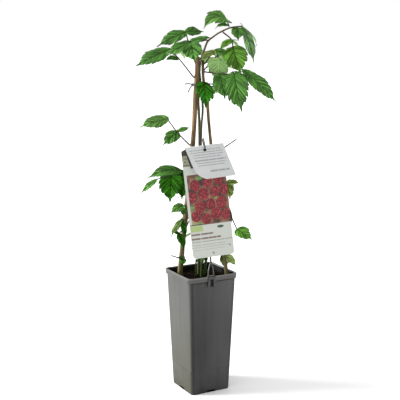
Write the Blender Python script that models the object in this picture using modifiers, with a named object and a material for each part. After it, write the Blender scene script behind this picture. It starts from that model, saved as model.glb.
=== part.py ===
"""A Japanese wineberry in a tall square nursery pot.

Four thin canes stand in the filled pot and are tied together near the top, where the middle cane runs on
into an arching bough. Leaves of one to five leaflets stand out from them. A folded plant label hangs on a
plastic holder that is clipped over the pot's rim.

Sizes are in millimetres and angles in degrees. A heading is measured from +X, anticlockwise seen from
above, and a pitch from the level, upwards. The origin is the middle of the pot's flat underside.
"""

import math
import random

import bmesh
import bpy
from mathutils import Matrix, Vector
from mathutils.bvhtree import BVHTree

MM = 0.001
GAP = 0.3

POT_HEIGHT = 220
POT_BASE_HALF = 39.25
POT_RIM_HALF = 50
POT_CORNER = 7
POT_WALL = 1.1
POT_FLOOR = 2
BAND_HEIGHT = 9.2
BAND_STEP = 2.5
CORNER_STEPS = 4
NOTCH_WIDTH = 16
NOTCH_HEIGHT = 4.5
DRAIN_RADIUS = 4
DRAIN_OFFSET = 20
SOIL_TOP = 209

TIE_HEIGHT = 552
TIE_RADIUS = 1.3
KNOT_RADIUS = 2.3
KNOT_HEADING = 165

LABEL_WIDTH = 74
LABEL_HEIGHT = 192
LABEL_THICK = 0.6
LABEL_FOOT = (0, -48.8, 256.2)
LABEL_HEADING = -19
LABEL_LEAN = 4.3
LABEL_TURN = 5.7
LABEL_CORNER = 6
LABEL_BOW = 1.2
FOLD_RADIUS = 3.5
FLAP_LENGTH = 53.5
FLAP_STAND_OFF = 8
FLAP_LEFT = -30
FLAP_SKEW = 15
FLAP_CUT = 14
HANG_HOLE = (3, 188)
HANG_HOLE_RADIUS = 2.75
PEG_HOLE = (0, 6.5)
PEG_HOLE_RADIUS = 1.6

ROD_RADIUS = 1.6
HOOK_RADIUS = 1.2
ROD_SET_BACK = 3.2
CLIP_X = -6
FORK_ACROSS = -6.5
CLIP_WIDTH = 14
CLIP_WALL = 1.5
CLIP_OUTSIDE = 20
CLIP_INSIDE = 8

LEAF_THICK = 0.8
LEAF_FOLD = 14
LEAF_STATIONS = (0.0, 0.06, 0.2, 0.38, 0.6, 0.82, 1.0)
STALK_RADIUS = 1.15
STALK_END_RADIUS = 0.75
STALK_STEP = 9

MATERIALS = {
    "pot_plastic": ((0.10, 0.10, 0.095), 0.45),
    "soil": ((0.020, 0.013, 0.009), 0.95),
    "bark": ((0.20, 0.11, 0.055), 0.7),
    "green_bark": ((0.09, 0.14, 0.03), 0.6),
    "leaf": ((0.06, 0.22, 0.03), 0.5),
    "label_card": ((0.78, 0.79, 0.76), 0.4),
    "holder_plastic": ((0.07, 0.075, 0.075), 0.4),
    "tie_string": ((0.25, 0.34, 0.35), 0.8),
}


def clear_scene():
    for item in list(bpy.data.objects):
        bpy.data.objects.remove(item, do_unlink=True)


def new_collection(name):
    group = bpy.data.collections.new(name)
    bpy.context.scene.collection.children.link(group)
    return group


def material(name):
    """The named finish, made once."""
    if name in bpy.data.materials:
        return bpy.data.materials[name]
    colour, roughness = MATERIALS[name]
    made = bpy.data.materials.new(name)
    made.use_nodes = True
    shader = made.node_tree.nodes["Principled BSDF"]
    shader.inputs["Base Color"].default_value = (*colour, 1)
    shader.inputs["Roughness"].default_value = roughness
    shader.inputs["Metallic"].default_value = 0
    return made


def add_object(name, mesh, finish):
    made = bpy.data.objects.new(name, mesh)
    mesh.materials.clear()
    mesh.materials.append(material(finish))
    plant.objects.link(made)
    made.parent = root
    return made


def set_origin(item, point):
    """The object's origin goes to a point, and its shape stays where it is."""
    item.data.transform(Matrix.Translation(-point))
    item.location = point


def direction(heading, pitch):
    level = math.cos(math.radians(pitch))
    return Vector(
        (
            level * math.cos(math.radians(heading)),
            level * math.sin(math.radians(heading)),
            math.sin(math.radians(pitch)),
        )
    )


def evaluated_mesh(item):
    graph = bpy.context.evaluated_depsgraph_get()
    return bpy.data.meshes.new_from_object(item.evaluated_get(graph))


def cutter(name, mesh):
    """A hidden object that cuts another, in the cutters' own collection."""
    made = bpy.data.objects.new(name, mesh)
    made.hide_render = True
    made.display_type = "WIRE"
    cutters.objects.link(made)
    return made


def cut(item, tool):
    hole = item.modifiers.new(tool.name, "BOOLEAN")
    hole.operation = "DIFFERENCE"
    hole.solver = "EXACT"
    hole.object = tool


def fuse(base, pieces):
    """The base and the pieces made one body by one union, with the pieces then removed."""
    group = new_collection(base.name + "_pieces")
    for piece in pieces:
        group.objects.link(piece)
    join = base.modifiers.new("Join", "BOOLEAN")
    join.operation = "UNION"
    join.operand_type = "COLLECTION"
    join.solver = "EXACT"
    join.collection = group
    fused = evaluated_mesh(base)
    base.modifiers.clear()
    old = base.data
    base.data = fused
    bpy.data.meshes.remove(old)
    for piece in pieces:
        bpy.data.objects.remove(piece, do_unlink=True)
    bpy.data.collections.remove(group)


def box_mesh(size, place, turn=None):
    shape = bmesh.new()
    at = Matrix.Translation(Vector(place) * MM)
    stretch = Matrix.Diagonal((size[0] * MM, size[1] * MM, size[2] * MM, 1))
    bmesh.ops.create_cube(shape, size=1, matrix=at @ (turn or Matrix()) @ stretch)
    return finished(shape, "box")


def rod_mesh(radius, length, place, turn, sides=12):
    shape = bmesh.new()
    bmesh.ops.create_cone(
        shape,
        cap_ends=True,
        segments=sides,
        radius1=radius * MM,
        radius2=radius * MM,
        depth=length * MM,
        matrix=Matrix.Translation(place) @ turn,
    )
    return finished(shape, "rod")


def ball_mesh(radius, place):
    shape = bmesh.new()
    bmesh.ops.create_uvsphere(
        shape, u_segments=10, v_segments=6, radius=radius * MM, matrix=Matrix.Translation(place)
    )
    return finished(shape, "ball")


def finished(shape, name):
    mesh = bpy.data.meshes.new(name)
    shape.to_mesh(mesh)
    shape.free()
    return mesh


def smooth_path(points, step):
    """Points about one step apart on a smooth curve through the given points (Catmull-Rom)."""
    ends = [points[0] * 2 - points[1], *points, points[-1] * 2 - points[-2]]
    path = [points[0]]
    for before, start, end, after in zip(ends, ends[1:], ends[2:], ends[3:]):
        count = max(1, round((end - start).length / (step * MM)))
        for k in range(1, count + 1):
            t = k / count
            path.append(
                0.5
                * (
                    2 * start
                    + (end - before) * t
                    + (2 * before - 5 * start + 4 * end - after) * t * t
                    + (3 * start - before - 3 * end + after) * t * t * t
                )
            )
    return path


def tube_mesh(path, radii, detail, closed=False):
    """A round tube along a path, with a radius in millimetres for each point."""
    curve = bpy.data.curves.new("tube", "CURVE")
    curve.dimensions = "3D"
    curve.bevel_depth = MM
    curve.bevel_resolution = detail
    curve.use_fill_caps = not closed
    line = curve.splines.new("POLY")
    line.points.add(len(path) - 1)
    line.use_cyclic_u = closed
    for knot, place, radius in zip(line.points, path, radii):
        knot.co = (*place, 1)
        knot.radius = radius
    guide = bpy.data.objects.new("tube", curve)
    plant.objects.link(guide)
    mesh = evaluated_mesh(guide)
    bpy.data.objects.remove(guide, do_unlink=True)
    bpy.data.curves.remove(curve)
    shape = bmesh.new()
    shape.from_mesh(mesh)
    bmesh.ops.remove_doubles(shape, verts=shape.verts, dist=1e-6)
    bmesh.ops.recalc_face_normals(shape, faces=shape.faces)
    shape.to_mesh(mesh)
    shape.free()
    return mesh


def rounded_square(half, corner, z):
    """The points of a square outline with round corners, anticlockwise seen from above."""
    points = []
    for quarter in range(4):
        turn = math.pi / 2 * quarter
        middle = Matrix.Rotation(turn, 2) @ Vector((half - corner, half - corner))
        for k in range(CORNER_STEPS + 1):
            angle = turn + math.pi / 2 * k / CORNER_STEPS
            spot = middle + Vector((math.cos(angle), math.sin(angle))) * corner
            points.append(Vector((spot.x, spot.y, z)) * MM)
    return points


def loft_mesh(outlines):
    """A closed skin through outlines of equal point counts, with a face at each end."""
    shape = bmesh.new()
    rings = [[shape.verts.new(point) for point in outline] for outline in outlines]
    for lower, upper in zip(rings, rings[1:]):
        for k in range(len(lower)):
            after = (k + 1) % len(lower)
            shape.faces.new((lower[k], lower[after], upper[after], upper[k]))
    shape.faces.new(rings[0][::-1])
    shape.faces.new(rings[-1])
    bmesh.ops.recalc_face_normals(shape, faces=shape.faces)
    return finished(shape, "loft")


def pot_outer_half(z):
    """Half the width of the pot's outer wall at a height: it widens evenly up to the rim band."""
    top = POT_RIM_HALF - BAND_STEP - 0.2
    return POT_BASE_HALF + (top - POT_BASE_HALF) * z / (POT_HEIGHT - BAND_HEIGHT)


def make_pot():
    band = POT_HEIGHT - BAND_HEIGHT
    inner_top = POT_RIM_HALF - 3.4
    outlines = [
        rounded_square(POT_BASE_HALF - 0.8, POT_CORNER - 1, 0),
        rounded_square(pot_outer_half(1.2), POT_CORNER, 1.2),
        rounded_square(pot_outer_half(band), POT_CORNER + 1, band),
        rounded_square(POT_RIM_HALF - 0.4, POT_CORNER + 3, band),
        rounded_square(POT_RIM_HALF, POT_CORNER + 3, POT_HEIGHT - 0.8),
        rounded_square(POT_RIM_HALF - 0.6, POT_CORNER + 2.4, POT_HEIGHT),
        rounded_square(inner_top + 0.4, POT_CORNER + 0.4, POT_HEIGHT),
        rounded_square(inner_top, POT_CORNER, POT_HEIGHT - 1),
        rounded_square(POT_BASE_HALF - POT_WALL, POT_CORNER - 1, POT_FLOOR),
    ]
    pot = add_object("pot", loft_mesh(outlines), "pot_plastic")
    for side in range(4):
        turn = Matrix.Rotation(math.pi / 2 * side, 4, "Z")
        middle = turn @ Vector((0, -POT_BASE_HALF, 0))
        notch = box_mesh((NOTCH_WIDTH, 12, 2 * NOTCH_HEIGHT), middle, turn)
        cut(pot, cutter(f"notch_{side + 1}", notch))
        corner = turn @ Vector((DRAIN_OFFSET, DRAIN_OFFSET, POT_FLOOR / 2)) * MM
        drain = rod_mesh(DRAIN_RADIUS, 4 * POT_FLOOR, corner, Matrix())
        cut(pot, cutter(f"drain_{side + 1}", drain))
    return pot


def make_soil():
    """The compost that fills the pot, a little clear of its wall and floor."""
    low = POT_FLOOR + GAP
    slope = (POT_RIM_HALF - 3.4 - POT_BASE_HALF + POT_WALL) / (POT_HEIGHT - 1 - POT_FLOOR)

    def inner_half(z):
        return POT_BASE_HALF - POT_WALL + slope * (z - POT_FLOOR) - GAP

    outlines = [
        rounded_square(inner_half(low), POT_CORNER - 1, low),
        rounded_square(inner_half(SOIL_TOP), POT_CORNER, SOIL_TOP),
    ]
    return add_object("soil", loft_mesh(outlines), "soil")


class Limb:
    """A tapering cane or bough along a smooth path, and where things stand on it."""

    def __init__(self, name, points, foot_radius, tip_radius, finish):
        route = [Vector(point) * MM for point in points]
        self.name = name
        self.path = smooth_path(route, 30)
        self.path.insert(1, route[0] + Vector((0, 0, 2 * MM)))
        self.marks = [0.0]
        for start, end in zip(self.path, self.path[1:]):
            self.marks.append(self.marks[-1] + (end - start).length / MM)
        self.length = self.marks[-1]
        self.foot_radius = foot_radius
        self.tip_radius = tip_radius
        radii = [self.radius(mark) for mark in self.marks]
        self.item = add_object(name, tube_mesh(self.path, radii, 2), finish)
        set_origin(self.item, route[0])

    def radius(self, along):
        return self.foot_radius + (self.tip_radius - self.foot_radius) * along / self.length

    def place(self, along):
        """The point on the centre line at a distance from the foot, and the way the limb runs there."""
        along = min(along, self.length)
        for k in range(len(self.path) - 1):
            if along <= self.marks[k + 1] or k == len(self.path) - 2:
                run = self.path[k + 1] - self.path[k]
                share = (along - self.marks[k]) / (self.marks[k + 1] - self.marks[k])
                return self.path[k] + run * share, run.normalized()

    def at_height(self, z):
        """The centre and the radius where the limb passes a height."""
        for k in range(len(self.path) - 1):
            low, high = self.path[k].z, self.path[k + 1].z
            if low <= z * MM <= high:
                share = (z * MM - low) / (high - low)
                spot = self.path[k] + (self.path[k + 1] - self.path[k]) * share
                along = self.marks[k] + share * (self.marks[k + 1] - self.marks[k])
                return spot, self.radius(along)
        raise ValueError(f"{self.name} does not pass {z} mm")


def make_limbs():
    """The canes from the soil to their tips, and the bough that carries the middle one on."""
    foot = SOIL_TOP + GAP
    canes = (
        ("stem_left", [
            (-31, 23, foot), (-23, 16, 314), (-12, 7, 449), (-7.5, 6, 526), (-5, 6, 563), (-3.2, 5.2, 600),
        ], 4.6, 3.8),
        ("stem_middle", [(4, 15, foot), (3, 9.7, 448), (0.5, 10, 525), (1, 8.6, 555), (3, 8, 592)], 3.0, 2.1),
        ("stem_right", [
            (37, -31, foot), (24.5, 7, 447), (16.7, 6.8, 525), (12.5, 6.6, 545), (9.3, 7.6, 563), (8.5, 8.3, 594),
        ], 3.3, 2.5),
        ("stem_back", [
            (9, 22, foot), (8, 14.5, 450), (10.6, 13.6, 495), (11, 13.3, 516), (7.5, 14.1, 554), (6, 16, 575),
        ], 2.8, 1.8),
    )
    made = {}
    for name, points, foot_radius, tip_radius in canes:
        finish = "bark" if name in ("stem_left", "stem_right") else "green_bark"
        made[name] = Limb(name, points, foot_radius, tip_radius, finish)
    arch = [
        (3, 8, 592 + GAP), (9, 4.2, 611), (14, 0.8, 625.5), (22, -3.6, 633), (31.5, -8, 640), (46, -18, 648),
        (61, -29, 651),
    ]
    made["bough_top"] = Limb("bough_top", arch, 1.9, 1.1, "bark")
    return made


def hull_path(circles, count):
    """Points evenly round the outside of a group of circles, as a string pulled round them lies."""
    path = []
    for k in range(count):
        out = Vector((math.cos(math.tau * k / count), math.sin(math.tau * k / count)))
        middle, radius = max(circles, key=lambda one: one[0].dot(out) + one[1])
        path.append(middle + out * radius)
    return path


def make_tie():
    """A string tied round all the canes, with its knot and two loose ends on the left."""
    circles = []
    for limb in limbs.values():
        if limb.name != "bough_top":
            spot, radius = limb.at_height(TIE_HEIGHT)
            circles.append((spot.xy, (radius + GAP + TIE_RADIUS) * MM))
    ring = [Vector((*spot, TIE_HEIGHT * MM)) for spot in hull_path(circles, 32)]
    tie = add_object("tie", tube_mesh(ring, [TIE_RADIUS] * len(ring), 1, closed=True), "tie_string")
    out = direction(KNOT_HEADING, 0)
    knot = max(ring, key=lambda spot: spot.dot(out)) + out * 0.8 * MM
    pieces = [bpy.data.objects.new("knot", ball_mesh(KNOT_RADIUS, knot))]
    for heading, pitch, length in ((150, 4, 14), (157, -58, 16)):
        tip = knot + direction(heading, pitch) * length * MM
        sag = (knot + tip) / 2 + Vector((0, 0, 1.5 * MM))
        end = smooth_path([knot, sag, tip], 4)
        pieces.append(bpy.data.objects.new("end", tube_mesh(end, [TIE_RADIUS] * len(end), 1)))
    fuse(tie, pieces)
    return tie


def label_frame():
    """The label's own frame: X across it, Y up it and Z out of its face."""
    return (
        Matrix.Translation(Vector(LABEL_FOOT) * MM)
        @ Matrix.Rotation(math.radians(LABEL_HEADING), 4, "Z")
        @ Matrix.Rotation(math.radians(90 - LABEL_LEAN), 4, "X")
        @ Matrix.Rotation(math.radians(LABEL_TURN), 4, "Z")
    )


def label_row(run):
    """The left and right edge, height and stand-off of the label's sheet, a distance along it."""
    half = LABEL_WIDTH / 2
    if run <= LABEL_HEIGHT:
        low = max(0, LABEL_CORNER - run)
        high = max(0, run - LABEL_HEIGHT + 4)
        trim = LABEL_CORNER - math.sqrt(LABEL_CORNER**2 - low**2)
        return trim - half + (half + FLAP_LEFT) * (high / 4) ** 2, half - trim, run, 0
    bend = math.pi * FOLD_RADIUS
    if run <= LABEL_HEIGHT + bend:
        angle = (run - LABEL_HEIGHT) / FOLD_RADIUS
        rise = LABEL_HEIGHT + FOLD_RADIUS * math.sin(angle)
        return FLAP_LEFT, half, rise, FOLD_RADIUS * (1 - math.cos(angle))
    down = (run - LABEL_HEIGHT - bend) / FLAP_LENGTH
    left = FLAP_LEFT + FLAP_SKEW * down + FLAP_CUT * down**8
    return left, half + FLAP_SKEW * down, LABEL_HEIGHT - FLAP_LENGTH * down, 2 * FOLD_RADIUS + FLAP_STAND_OFF * down


def make_label():
    """A thin card folded forward over the hook, its lower corners rounded and its flap cut on a curve."""
    bend = math.pi * FOLD_RADIUS
    fold_runs = [LABEL_HEIGHT + bend * k / 6 for k in range(1, 7)]
    flap_runs = [LABEL_HEIGHT + bend + FLAP_LENGTH * s for s in (0.25, 0.5, 0.72, 0.86, 0.94, 1)]
    runs = [0, 0.6, 2.2, LABEL_CORNER, 60, 120, LABEL_HEIGHT - 8, LABEL_HEIGHT - 4, LABEL_HEIGHT]
    runs += fold_runs + flap_runs
    across = 6
    shape = bmesh.new()
    bmesh.ops.create_grid(shape, x_segments=across, y_segments=len(runs) - 1, size=0.5)
    for vert in shape.verts:
        share = vert.co.x + 0.5
        left, right, rise, stand = label_row(runs[round((vert.co.y + 0.5) * (len(runs) - 1))])
        reach = left + (right - left) * share
        bow = LABEL_BOW * (reach * 2 / LABEL_WIDTH) ** 2
        vert.co = Vector((reach, rise, stand - bow)) * MM
    bmesh.ops.recalc_face_normals(shape, faces=shape.faces)
    label = add_object("label", finished(shape, "label"), "label_card")
    label.matrix_world = label_frame()
    wall = label.modifiers.new("Thickness", "SOLIDIFY")
    wall.thickness = LABEL_THICK * MM
    wall.offset = 0
    hang_spot = label_frame() @ (Vector((*HANG_HOLE, 2 * FOLD_RADIUS + 1)) * MM)
    peg_spot = label_frame() @ (Vector((*PEG_HOLE, 0)) * MM)
    face = label_frame().to_3x3().to_4x4()
    cut(label, cutter("hang_hole", rod_mesh(HANG_HOLE_RADIUS, 6, hang_spot, face)))
    cut(label, cutter("peg_hole", rod_mesh(PEG_HOLE_RADIUS, 4, peg_spot, face)))
    return label


def make_holder():
    """The rod behind the label, its hook through the flap, and the forked clip over the pot's rim."""
    frame = label_frame()

    def on_label(across, up, out):
        return frame @ (Vector((across, up, out)) * MM)

    lean = (HANG_HOLE[0] - FORK_ACROSS) / (HANG_HOLE[1] + 10)
    fork = on_label(FORK_ACROSS, -10, -ROD_SET_BACK)
    hold = HANG_HOLE[1] + HANG_HOLE_RADIUS - HOOK_RADIUS - GAP
    rod = [on_label(FORK_ACROSS + lean * (up + 10), up, -ROD_SET_BACK) for up in (-10, 50, 120, 196)]
    hook = [(202, -2.6), (206.5, 1.2), (206.8, 5.4), (202.5, 9), (196, 10.6), (191, 10.2), (hold, 7.4), (hold, 4.6)]
    path = smooth_path(rod, 40) + [on_label(HANG_HOLE[0], up, out) for up, out in hook]
    straight = len(path) - len(hook)
    radii = [ROD_RADIUS + (HOOK_RADIUS - ROD_RADIUS) * min(1, k / straight) for k in range(len(path))]
    holder = add_object("label_holder", tube_mesh(path, radii, 2), "holder_plastic")
    rim_y = -POT_RIM_HALF
    inner_y = rim_y + 3.4
    inside_y = inner_y + GAP + CLIP_WALL / 2
    outside_y = rim_y - GAP - CLIP_WALL / 2
    top = POT_HEIGHT + GAP + CLIP_WALL
    saddle = ((CLIP_WIDTH, inside_y - outside_y + CLIP_WALL, CLIP_WALL), (CLIP_X, (inside_y + outside_y) / 2, top - CLIP_WALL / 2))
    outside = ((CLIP_WIDTH, CLIP_WALL, CLIP_OUTSIDE), (CLIP_X, outside_y, top - CLIP_OUTSIDE / 2))
    inside = ((CLIP_WIDTH, CLIP_WALL, CLIP_INSIDE), (CLIP_X, inside_y, top - CLIP_INSIDE / 2))
    pieces = [bpy.data.objects.new("plate", box_mesh(size, place)) for size, place in (saddle, outside, inside)]
    for side in (-1, 1):
        foot = Vector((CLIP_X + side * (CLIP_WIDTH / 2 - 1.4), (inside_y + outside_y) / 2, top - 0.7)) * MM
        knee = (fork + foot) / 2 + Vector((side * 1.6 * MM, 0, 0))
        leg = smooth_path([fork, knee, foot], 8)
        pieces.append(bpy.data.objects.new("leg", tube_mesh(leg, [HOOK_RADIUS] * len(leg), 2)))
    fuse(holder, pieces)
    return holder


def outline_share(t, point=1.05):
    """Half the leaflet's width at a share of its length: round at the foot, drawn out to a point."""
    peak = 0.5 / (0.5 + point)
    return math.sqrt(t / peak) * ((1 - t) / (1 - peak)) ** point


def leaflet(foot, heading, pitch, length, width, roll, arch):
    """One leaflet from its foot to its tip: a shallow V across, an arc along, and a real thickness.

    roll turns its upper face towards its left, and arch is the angle its midrib turns through.
    """
    along = direction(heading, pitch)
    up = direction(heading, pitch + 90)
    left = up.cross(along)
    swing = math.radians(roll)
    face = up * math.cos(swing) + left * math.sin(swing)
    side = left * math.cos(swing) - up * math.sin(swing)
    turn = math.radians(max(arch, 2))
    bend = length / (2 * math.sin(turn / 2))
    fold = math.tan(math.radians(LEAF_FOLD))
    shape = bmesh.new()
    last = len(LEAF_STATIONS) - 1
    bmesh.ops.create_grid(shape, x_segments=2, y_segments=last, size=0.5)
    for vert in shape.verts:
        t = LEAF_STATIONS[round((vert.co.y + 0.5) * last)]
        half = max(width / 2 * outline_share(t), 0.45)
        reach = 2 * vert.co.x * half
        angle = turn * (t - 0.5)
        lift = abs(reach) * fold
        run = bend * (math.sin(turn / 2) + math.sin(angle)) + lift * math.sin(angle)
        rise = bend * (math.cos(angle) - math.cos(turn / 2)) + lift * math.cos(angle)
        vert.co = foot + (along * run + side * reach + face * rise) * MM
    bmesh.ops.recalc_face_normals(shape, faces=shape.faces)
    made = bpy.data.objects.new("leaflet", finished(shape, "leaflet"))
    wall = made.modifiers.new("Thickness", "SOLIDIFY")
    wall.thickness = max(LEAF_THICK, length / 90) * MM
    wall.offset = 0
    return made


def solid_tree(mesh, at=Matrix()):
    """A search tree of a mesh, to test what touches it."""
    points = [at @ vert.co for vert in mesh.vertices]
    return BVHTree.FromPolygons(points, [tuple(face.vertices) for face in mesh.polygons])


def is_free(item):
    """Whether an object, with its modifiers, touches nothing that is already in place."""
    holder_group = bpy.context.scene.collection
    holder_group.objects.link(item)
    mesh = evaluated_mesh(item)
    holder_group.objects.unlink(item)
    tree = solid_tree(mesh)
    bpy.data.meshes.remove(mesh)
    return not any(tree.overlap(other) for other in in_place)


def stalk_start(limb, along, heading):
    """Where a leaf stalk leaves its limb, a gap clear of the bark, and the way it first runs."""
    spot, run = limb.place(along)
    if along >= limb.length:
        return spot + run * GAP * MM, run
    out = direction(heading, 0)
    out = (out - run * out.dot(run)).normalized()
    return spot + out * (limb.radius(along) + GAP) * MM, out


def foliage(name, start, out, runs, leaflets, radius=STALK_RADIUS):
    """One compound leaf as one body: a tapering stalk of one or more runs, with leaflets fused to its joints.

    A leaflet that would touch what is already in place is left off, and so is a whole leaf whose stalk would.
    """
    joints = [start + out * 1.6 * MM]
    for heading, pitch, length in runs:
        joints.append(joints[-1] + direction(heading, pitch) * length * MM)
    path = [start] + smooth_path(joints, STALK_STEP)
    radii = [radius + (STALK_END_RADIUS - radius) * k / (len(path) - 1) for k in range(len(path))]
    mesh = tube_mesh(path, radii, 0)
    if any(solid_tree(mesh).overlap(other) for other in in_place):
        print(name, "is left out: its stalk touches something")
        return None
    item = add_object(name, mesh, "leaf")
    pieces = []
    for joint, *shape in leaflets:
        piece = leaflet(joints[joint], *shape)
        if is_free(piece):
            pieces.append(piece)
        else:
            print(name, "goes without a leaflet that would touch something:", joint, shape)
            bpy.data.objects.remove(piece, do_unlink=True)
    if pieces:
        fuse(item, pieces)
    in_place.append(solid_tree(item.data))
    set_origin(item, start)
    return item


# Each leaf: its limb and how far up it, then the runs of its stalk as (heading, pitch, length), then its
# leaflets as (joint, heading, pitch, length, width, roll, arch). Joint 1 is the end of the first run.
LEAVES = {
    "foliage_top_left": (
        "stem_left", 357, [(171, 50, 42), (171, 39, 22)],
        [(1, 176, -4, 26, 15, 30, 20), (2, 167, -24, 66, 29, 45, 8)],
    ),
    "foliage_top_upper": (
        "bough_top", 36, [(162, -9, 29), (165, 66, 18.5)],
        [(1, 1, 11, 45, 18, -25, 20), (1, -170, -24, 54, 24, 30, 20), (1, -105, -43, 51, 35, -12, 20),
         (2, 4, 2, 36, 20, -45, 25), (2, 171, -25, 57, 25, 45, 25)],
    ),
    "foliage_tip_high": (
        "bough_top", 80, [(175, 70, 12)],
        [(0, 176, -4, 27, 12, 30, 110), (1, 176, -16, 47, 36, 35, 145)],
    ),
    "foliage_tip_front": (
        "bough_top", 90, [(-51, 0, 4.8)],
        [(1, -120, -48, 29, 22, 0, 15)],
    ),
    "foliage_tip_hanging": (
        "bough_top", 200, [(-69, -33, 7.4)],
        [(1, -63, -71, 63, 17, -40, 45), (1, 14, -42, 44, 9, -20, 40), (1, 150, 56, 12, 5, 0, 30)],
    ),
    "foliage_under_bough": (
        "bough_top", 67, [(-63, -36, 21.5), (-97, -66, 16)],
        [(1, 173, -36, 28, 15, 30, 20), (1, -78, -4, 14, 8, 0, 10), (1, 1, -46, 21, 11, 0, 20),
         (2, -87, -60, 49, 40, -30, 20)],
    ),
    "foliage_stem_top": (
        "stem_right", 383, [(-73, 42, 32), (-35, -62, 14)],
        [(1, 168, -30, 31, 20, 25, 20), (1, -20, -8, 27, 14, -15, 10), (2, 60, -66, 45, 38, 0, 20)],
    ),
    "foliage_right_large": (
        "stem_right", 369, [(-67, -5, 32), (-52, 2, 27), (-1, 12, 19)],
        [(1, -80, -71, 46, 31, -30, 15), (2, -84, -71, 68, 40, -50, 20), (3, -35, -42, 75, 27, -50, 14)],
    ),
    "foliage_tie_front": (
        "stem_right", 342, [(-73, 10, 27), (177, 8, 28)],
        [(2, -100, -77, 42, 43, 30, 15), (2, 176, -58, 25, 17, 25, 10)],
    ),
    "foliage_left_middle": (
        "stem_left", 239, [(166, 46, 31), (170, 53, 30)],
        [(1, -172, -33, 37, 24, 40, 20), (1, 14, 13, 32, 16, -10, 25), (2, 168, -14, 52, 26, 45, 15)],
    ),
    "foliage_left_low": (
        "stem_left", 189, [(180, 20, 12), (171, -17, 18), (164, -15, 28)],
        [(1, 166, -12, 63, 22, 42, 60), (1, -113, -76, 51, 27, 0, 10), (2, -130, -68, 50, 42, 0, 15),
         (3, 167, -39, 38, 14, 30, 10)],
    ),
    "foliage_left_small": (
        "stem_left", 130, [(-155, 12, 4)],
        [(1, 177, -23, 27, 20, 35, 20), (1, -111, -70, 20, 12, 0, 10)],
    ),
    "foliage_left_narrow": (
        "stem_left", 105, [(-153, 5, 5)],
        [(1, -176, -52, 37, 15, 10, 10), (1, -75, -73, 34, 13, 0, 10)],
    ),
    "foliage_left_folded": (
        "stem_left", 84, [(-158, -20, 10)],
        [(1, -71, -60, 31, 18, 0, 10), (1, 140, 25, 11, 8, 30, 10)],
    ),
    "foliage_foot_left": (
        "stem_left", 42, [(-104, -40, 11), (-166, 20, 32)],
        [(1, -179, 15, 13, 10, 40, 10), (1, -131, -51, 13, 10, 0, 10)],
    ),
    "foliage_right_small": (
        "stem_right", 165, [(-22, 21, 15)],
        [(1, -47, 3, 25, 16, -35, 15), (1, -89, -64, 31, 24, 0, 10)],
    ),
    "foliage_right_side": (
        "stem_right", 135, [(-23, -33, 18), (-78, -65, 19), (-71, -58, 23)],
        [(1, -102, -76, 35, 9, 0, 10), (3, -56, -28, 34, 27, -30, 20)],
    ),
    "foliage_foot_right": (
        "stem_right", 42, [(64, -16, 11)],
        [(1, -91, -80, 26, 18, 0, 10), (1, -32, -41, 32, 22, -30, 10)],
    ),
    "stalk_bare": (
        "stem_right", 221, [(-29, 38, 22), (-40, 35, 26)],
        [],
    ),
}

# Leaves of three leaflets on the far side, each as its limb, how far up it, and its heading.
FAR_LEAVES = (
    ("stem_back", 52, 60),
    ("stem_left", 85, 42),
    ("stem_back", 118, 72),
    ("stem_right", 150, 97),
    ("stem_left", 172, 50),
    ("stem_back", 192, 55),
    ("stem_back", 315, 15),
    ("stem_left", 378, 74),
    ("stem_right", 372, 34),
)
FAR_STALK = 42
FAR_LEAFLET = 56

# Young shoots from the foot of the clump, each as the place of its foot and its height.
SHOOTS = ((-5, 8, 32), (-1, -3, 36), (9, 3, 42), (17, 13, 34))


def make_far_leaves():
    """Three-part leaves by one seeded rule: a rising stalk, a pair of side leaflets and one at the end."""
    dice = random.Random(7)
    for number, (limb_name, along, heading) in enumerate(FAR_LEAVES, 1):
        limb = limbs[limb_name]
        size = dice.uniform(0.85, 1.1)
        pitch = dice.uniform(22, 38)
        stalk = FAR_STALK * size
        start, out = stalk_start(limb, along, heading)
        runs = [(heading, pitch, stalk), (heading, pitch - 14, stalk * 0.45)]
        end_leaf = FAR_LEAFLET * size
        side_leaf = end_leaf * 0.7
        leaflets = [(2, heading, -24, end_leaf, end_leaf * 0.56, 0, 35)]
        for side in (-1, 1):
            spread = heading + side * dice.uniform(62, 74)
            droop = dice.uniform(-30, -14)
            leaflets.append((1, spread, droop, side_leaf, side_leaf * 0.52, -side * 14, 28))
        foliage(f"foliage_far_{number}", start, out, runs, leaflets)


def make_shoots():
    """Upright young shoots, each with two narrow leaves near its tip."""
    dice = random.Random(5)
    for number, (x, y, height) in enumerate(SHOOTS, 1):
        start = Vector((x, y, SOIL_TOP + GAP)) * MM
        heading = dice.uniform(0, 360)
        runs = [(heading, 84, height * 0.65), (heading + 30, 76, height * 0.35)]
        leaflets = [
            (1, heading + 120, 58, 19, 8, 0, 25),
            (2, heading - 60, 66, 22, 9, 0, 20),
        ]
        foliage(f"shoot_{number}", start, Vector((0, 0, 1)), runs, leaflets, radius=2.2)


def make_leaves():
    for name, (limb_name, along, runs, leaflets) in LEAVES.items():
        start, out = stalk_start(limbs[limb_name], along, runs[0][0])
        foliage(name, start, out, runs, leaflets)


clear_scene()
plant = new_collection("potted_japanese_wineberry")
cutters = new_collection("cutters")
root = bpy.data.objects.new("plant_root", None)
plant.objects.link(root)
make_pot()
make_soil()
limbs = make_limbs()
make_tie()
make_label()
make_holder()
in_place = []
for solid in [item for item in plant.objects if item.type == "MESH"]:
    in_place.append(solid_tree(evaluated_mesh(solid), solid.matrix_world))
make_leaves()
make_far_leaves()
make_shoots()
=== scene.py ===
# %% [markdown]
# # A Japanese wineberry in its nursery pot
#
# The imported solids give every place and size. This script dresses them: a moulded pot full of compost, four
# thin canes tied near their tops, toothed and deeply veined leaves, and a folded card on a plastic holder.
# Each piece is made on the spot where its solid stands and then takes that solid's place.

import math
import random

import bmesh
import bpy
import numpy as np
from mathutils import Matrix, Vector


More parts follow.
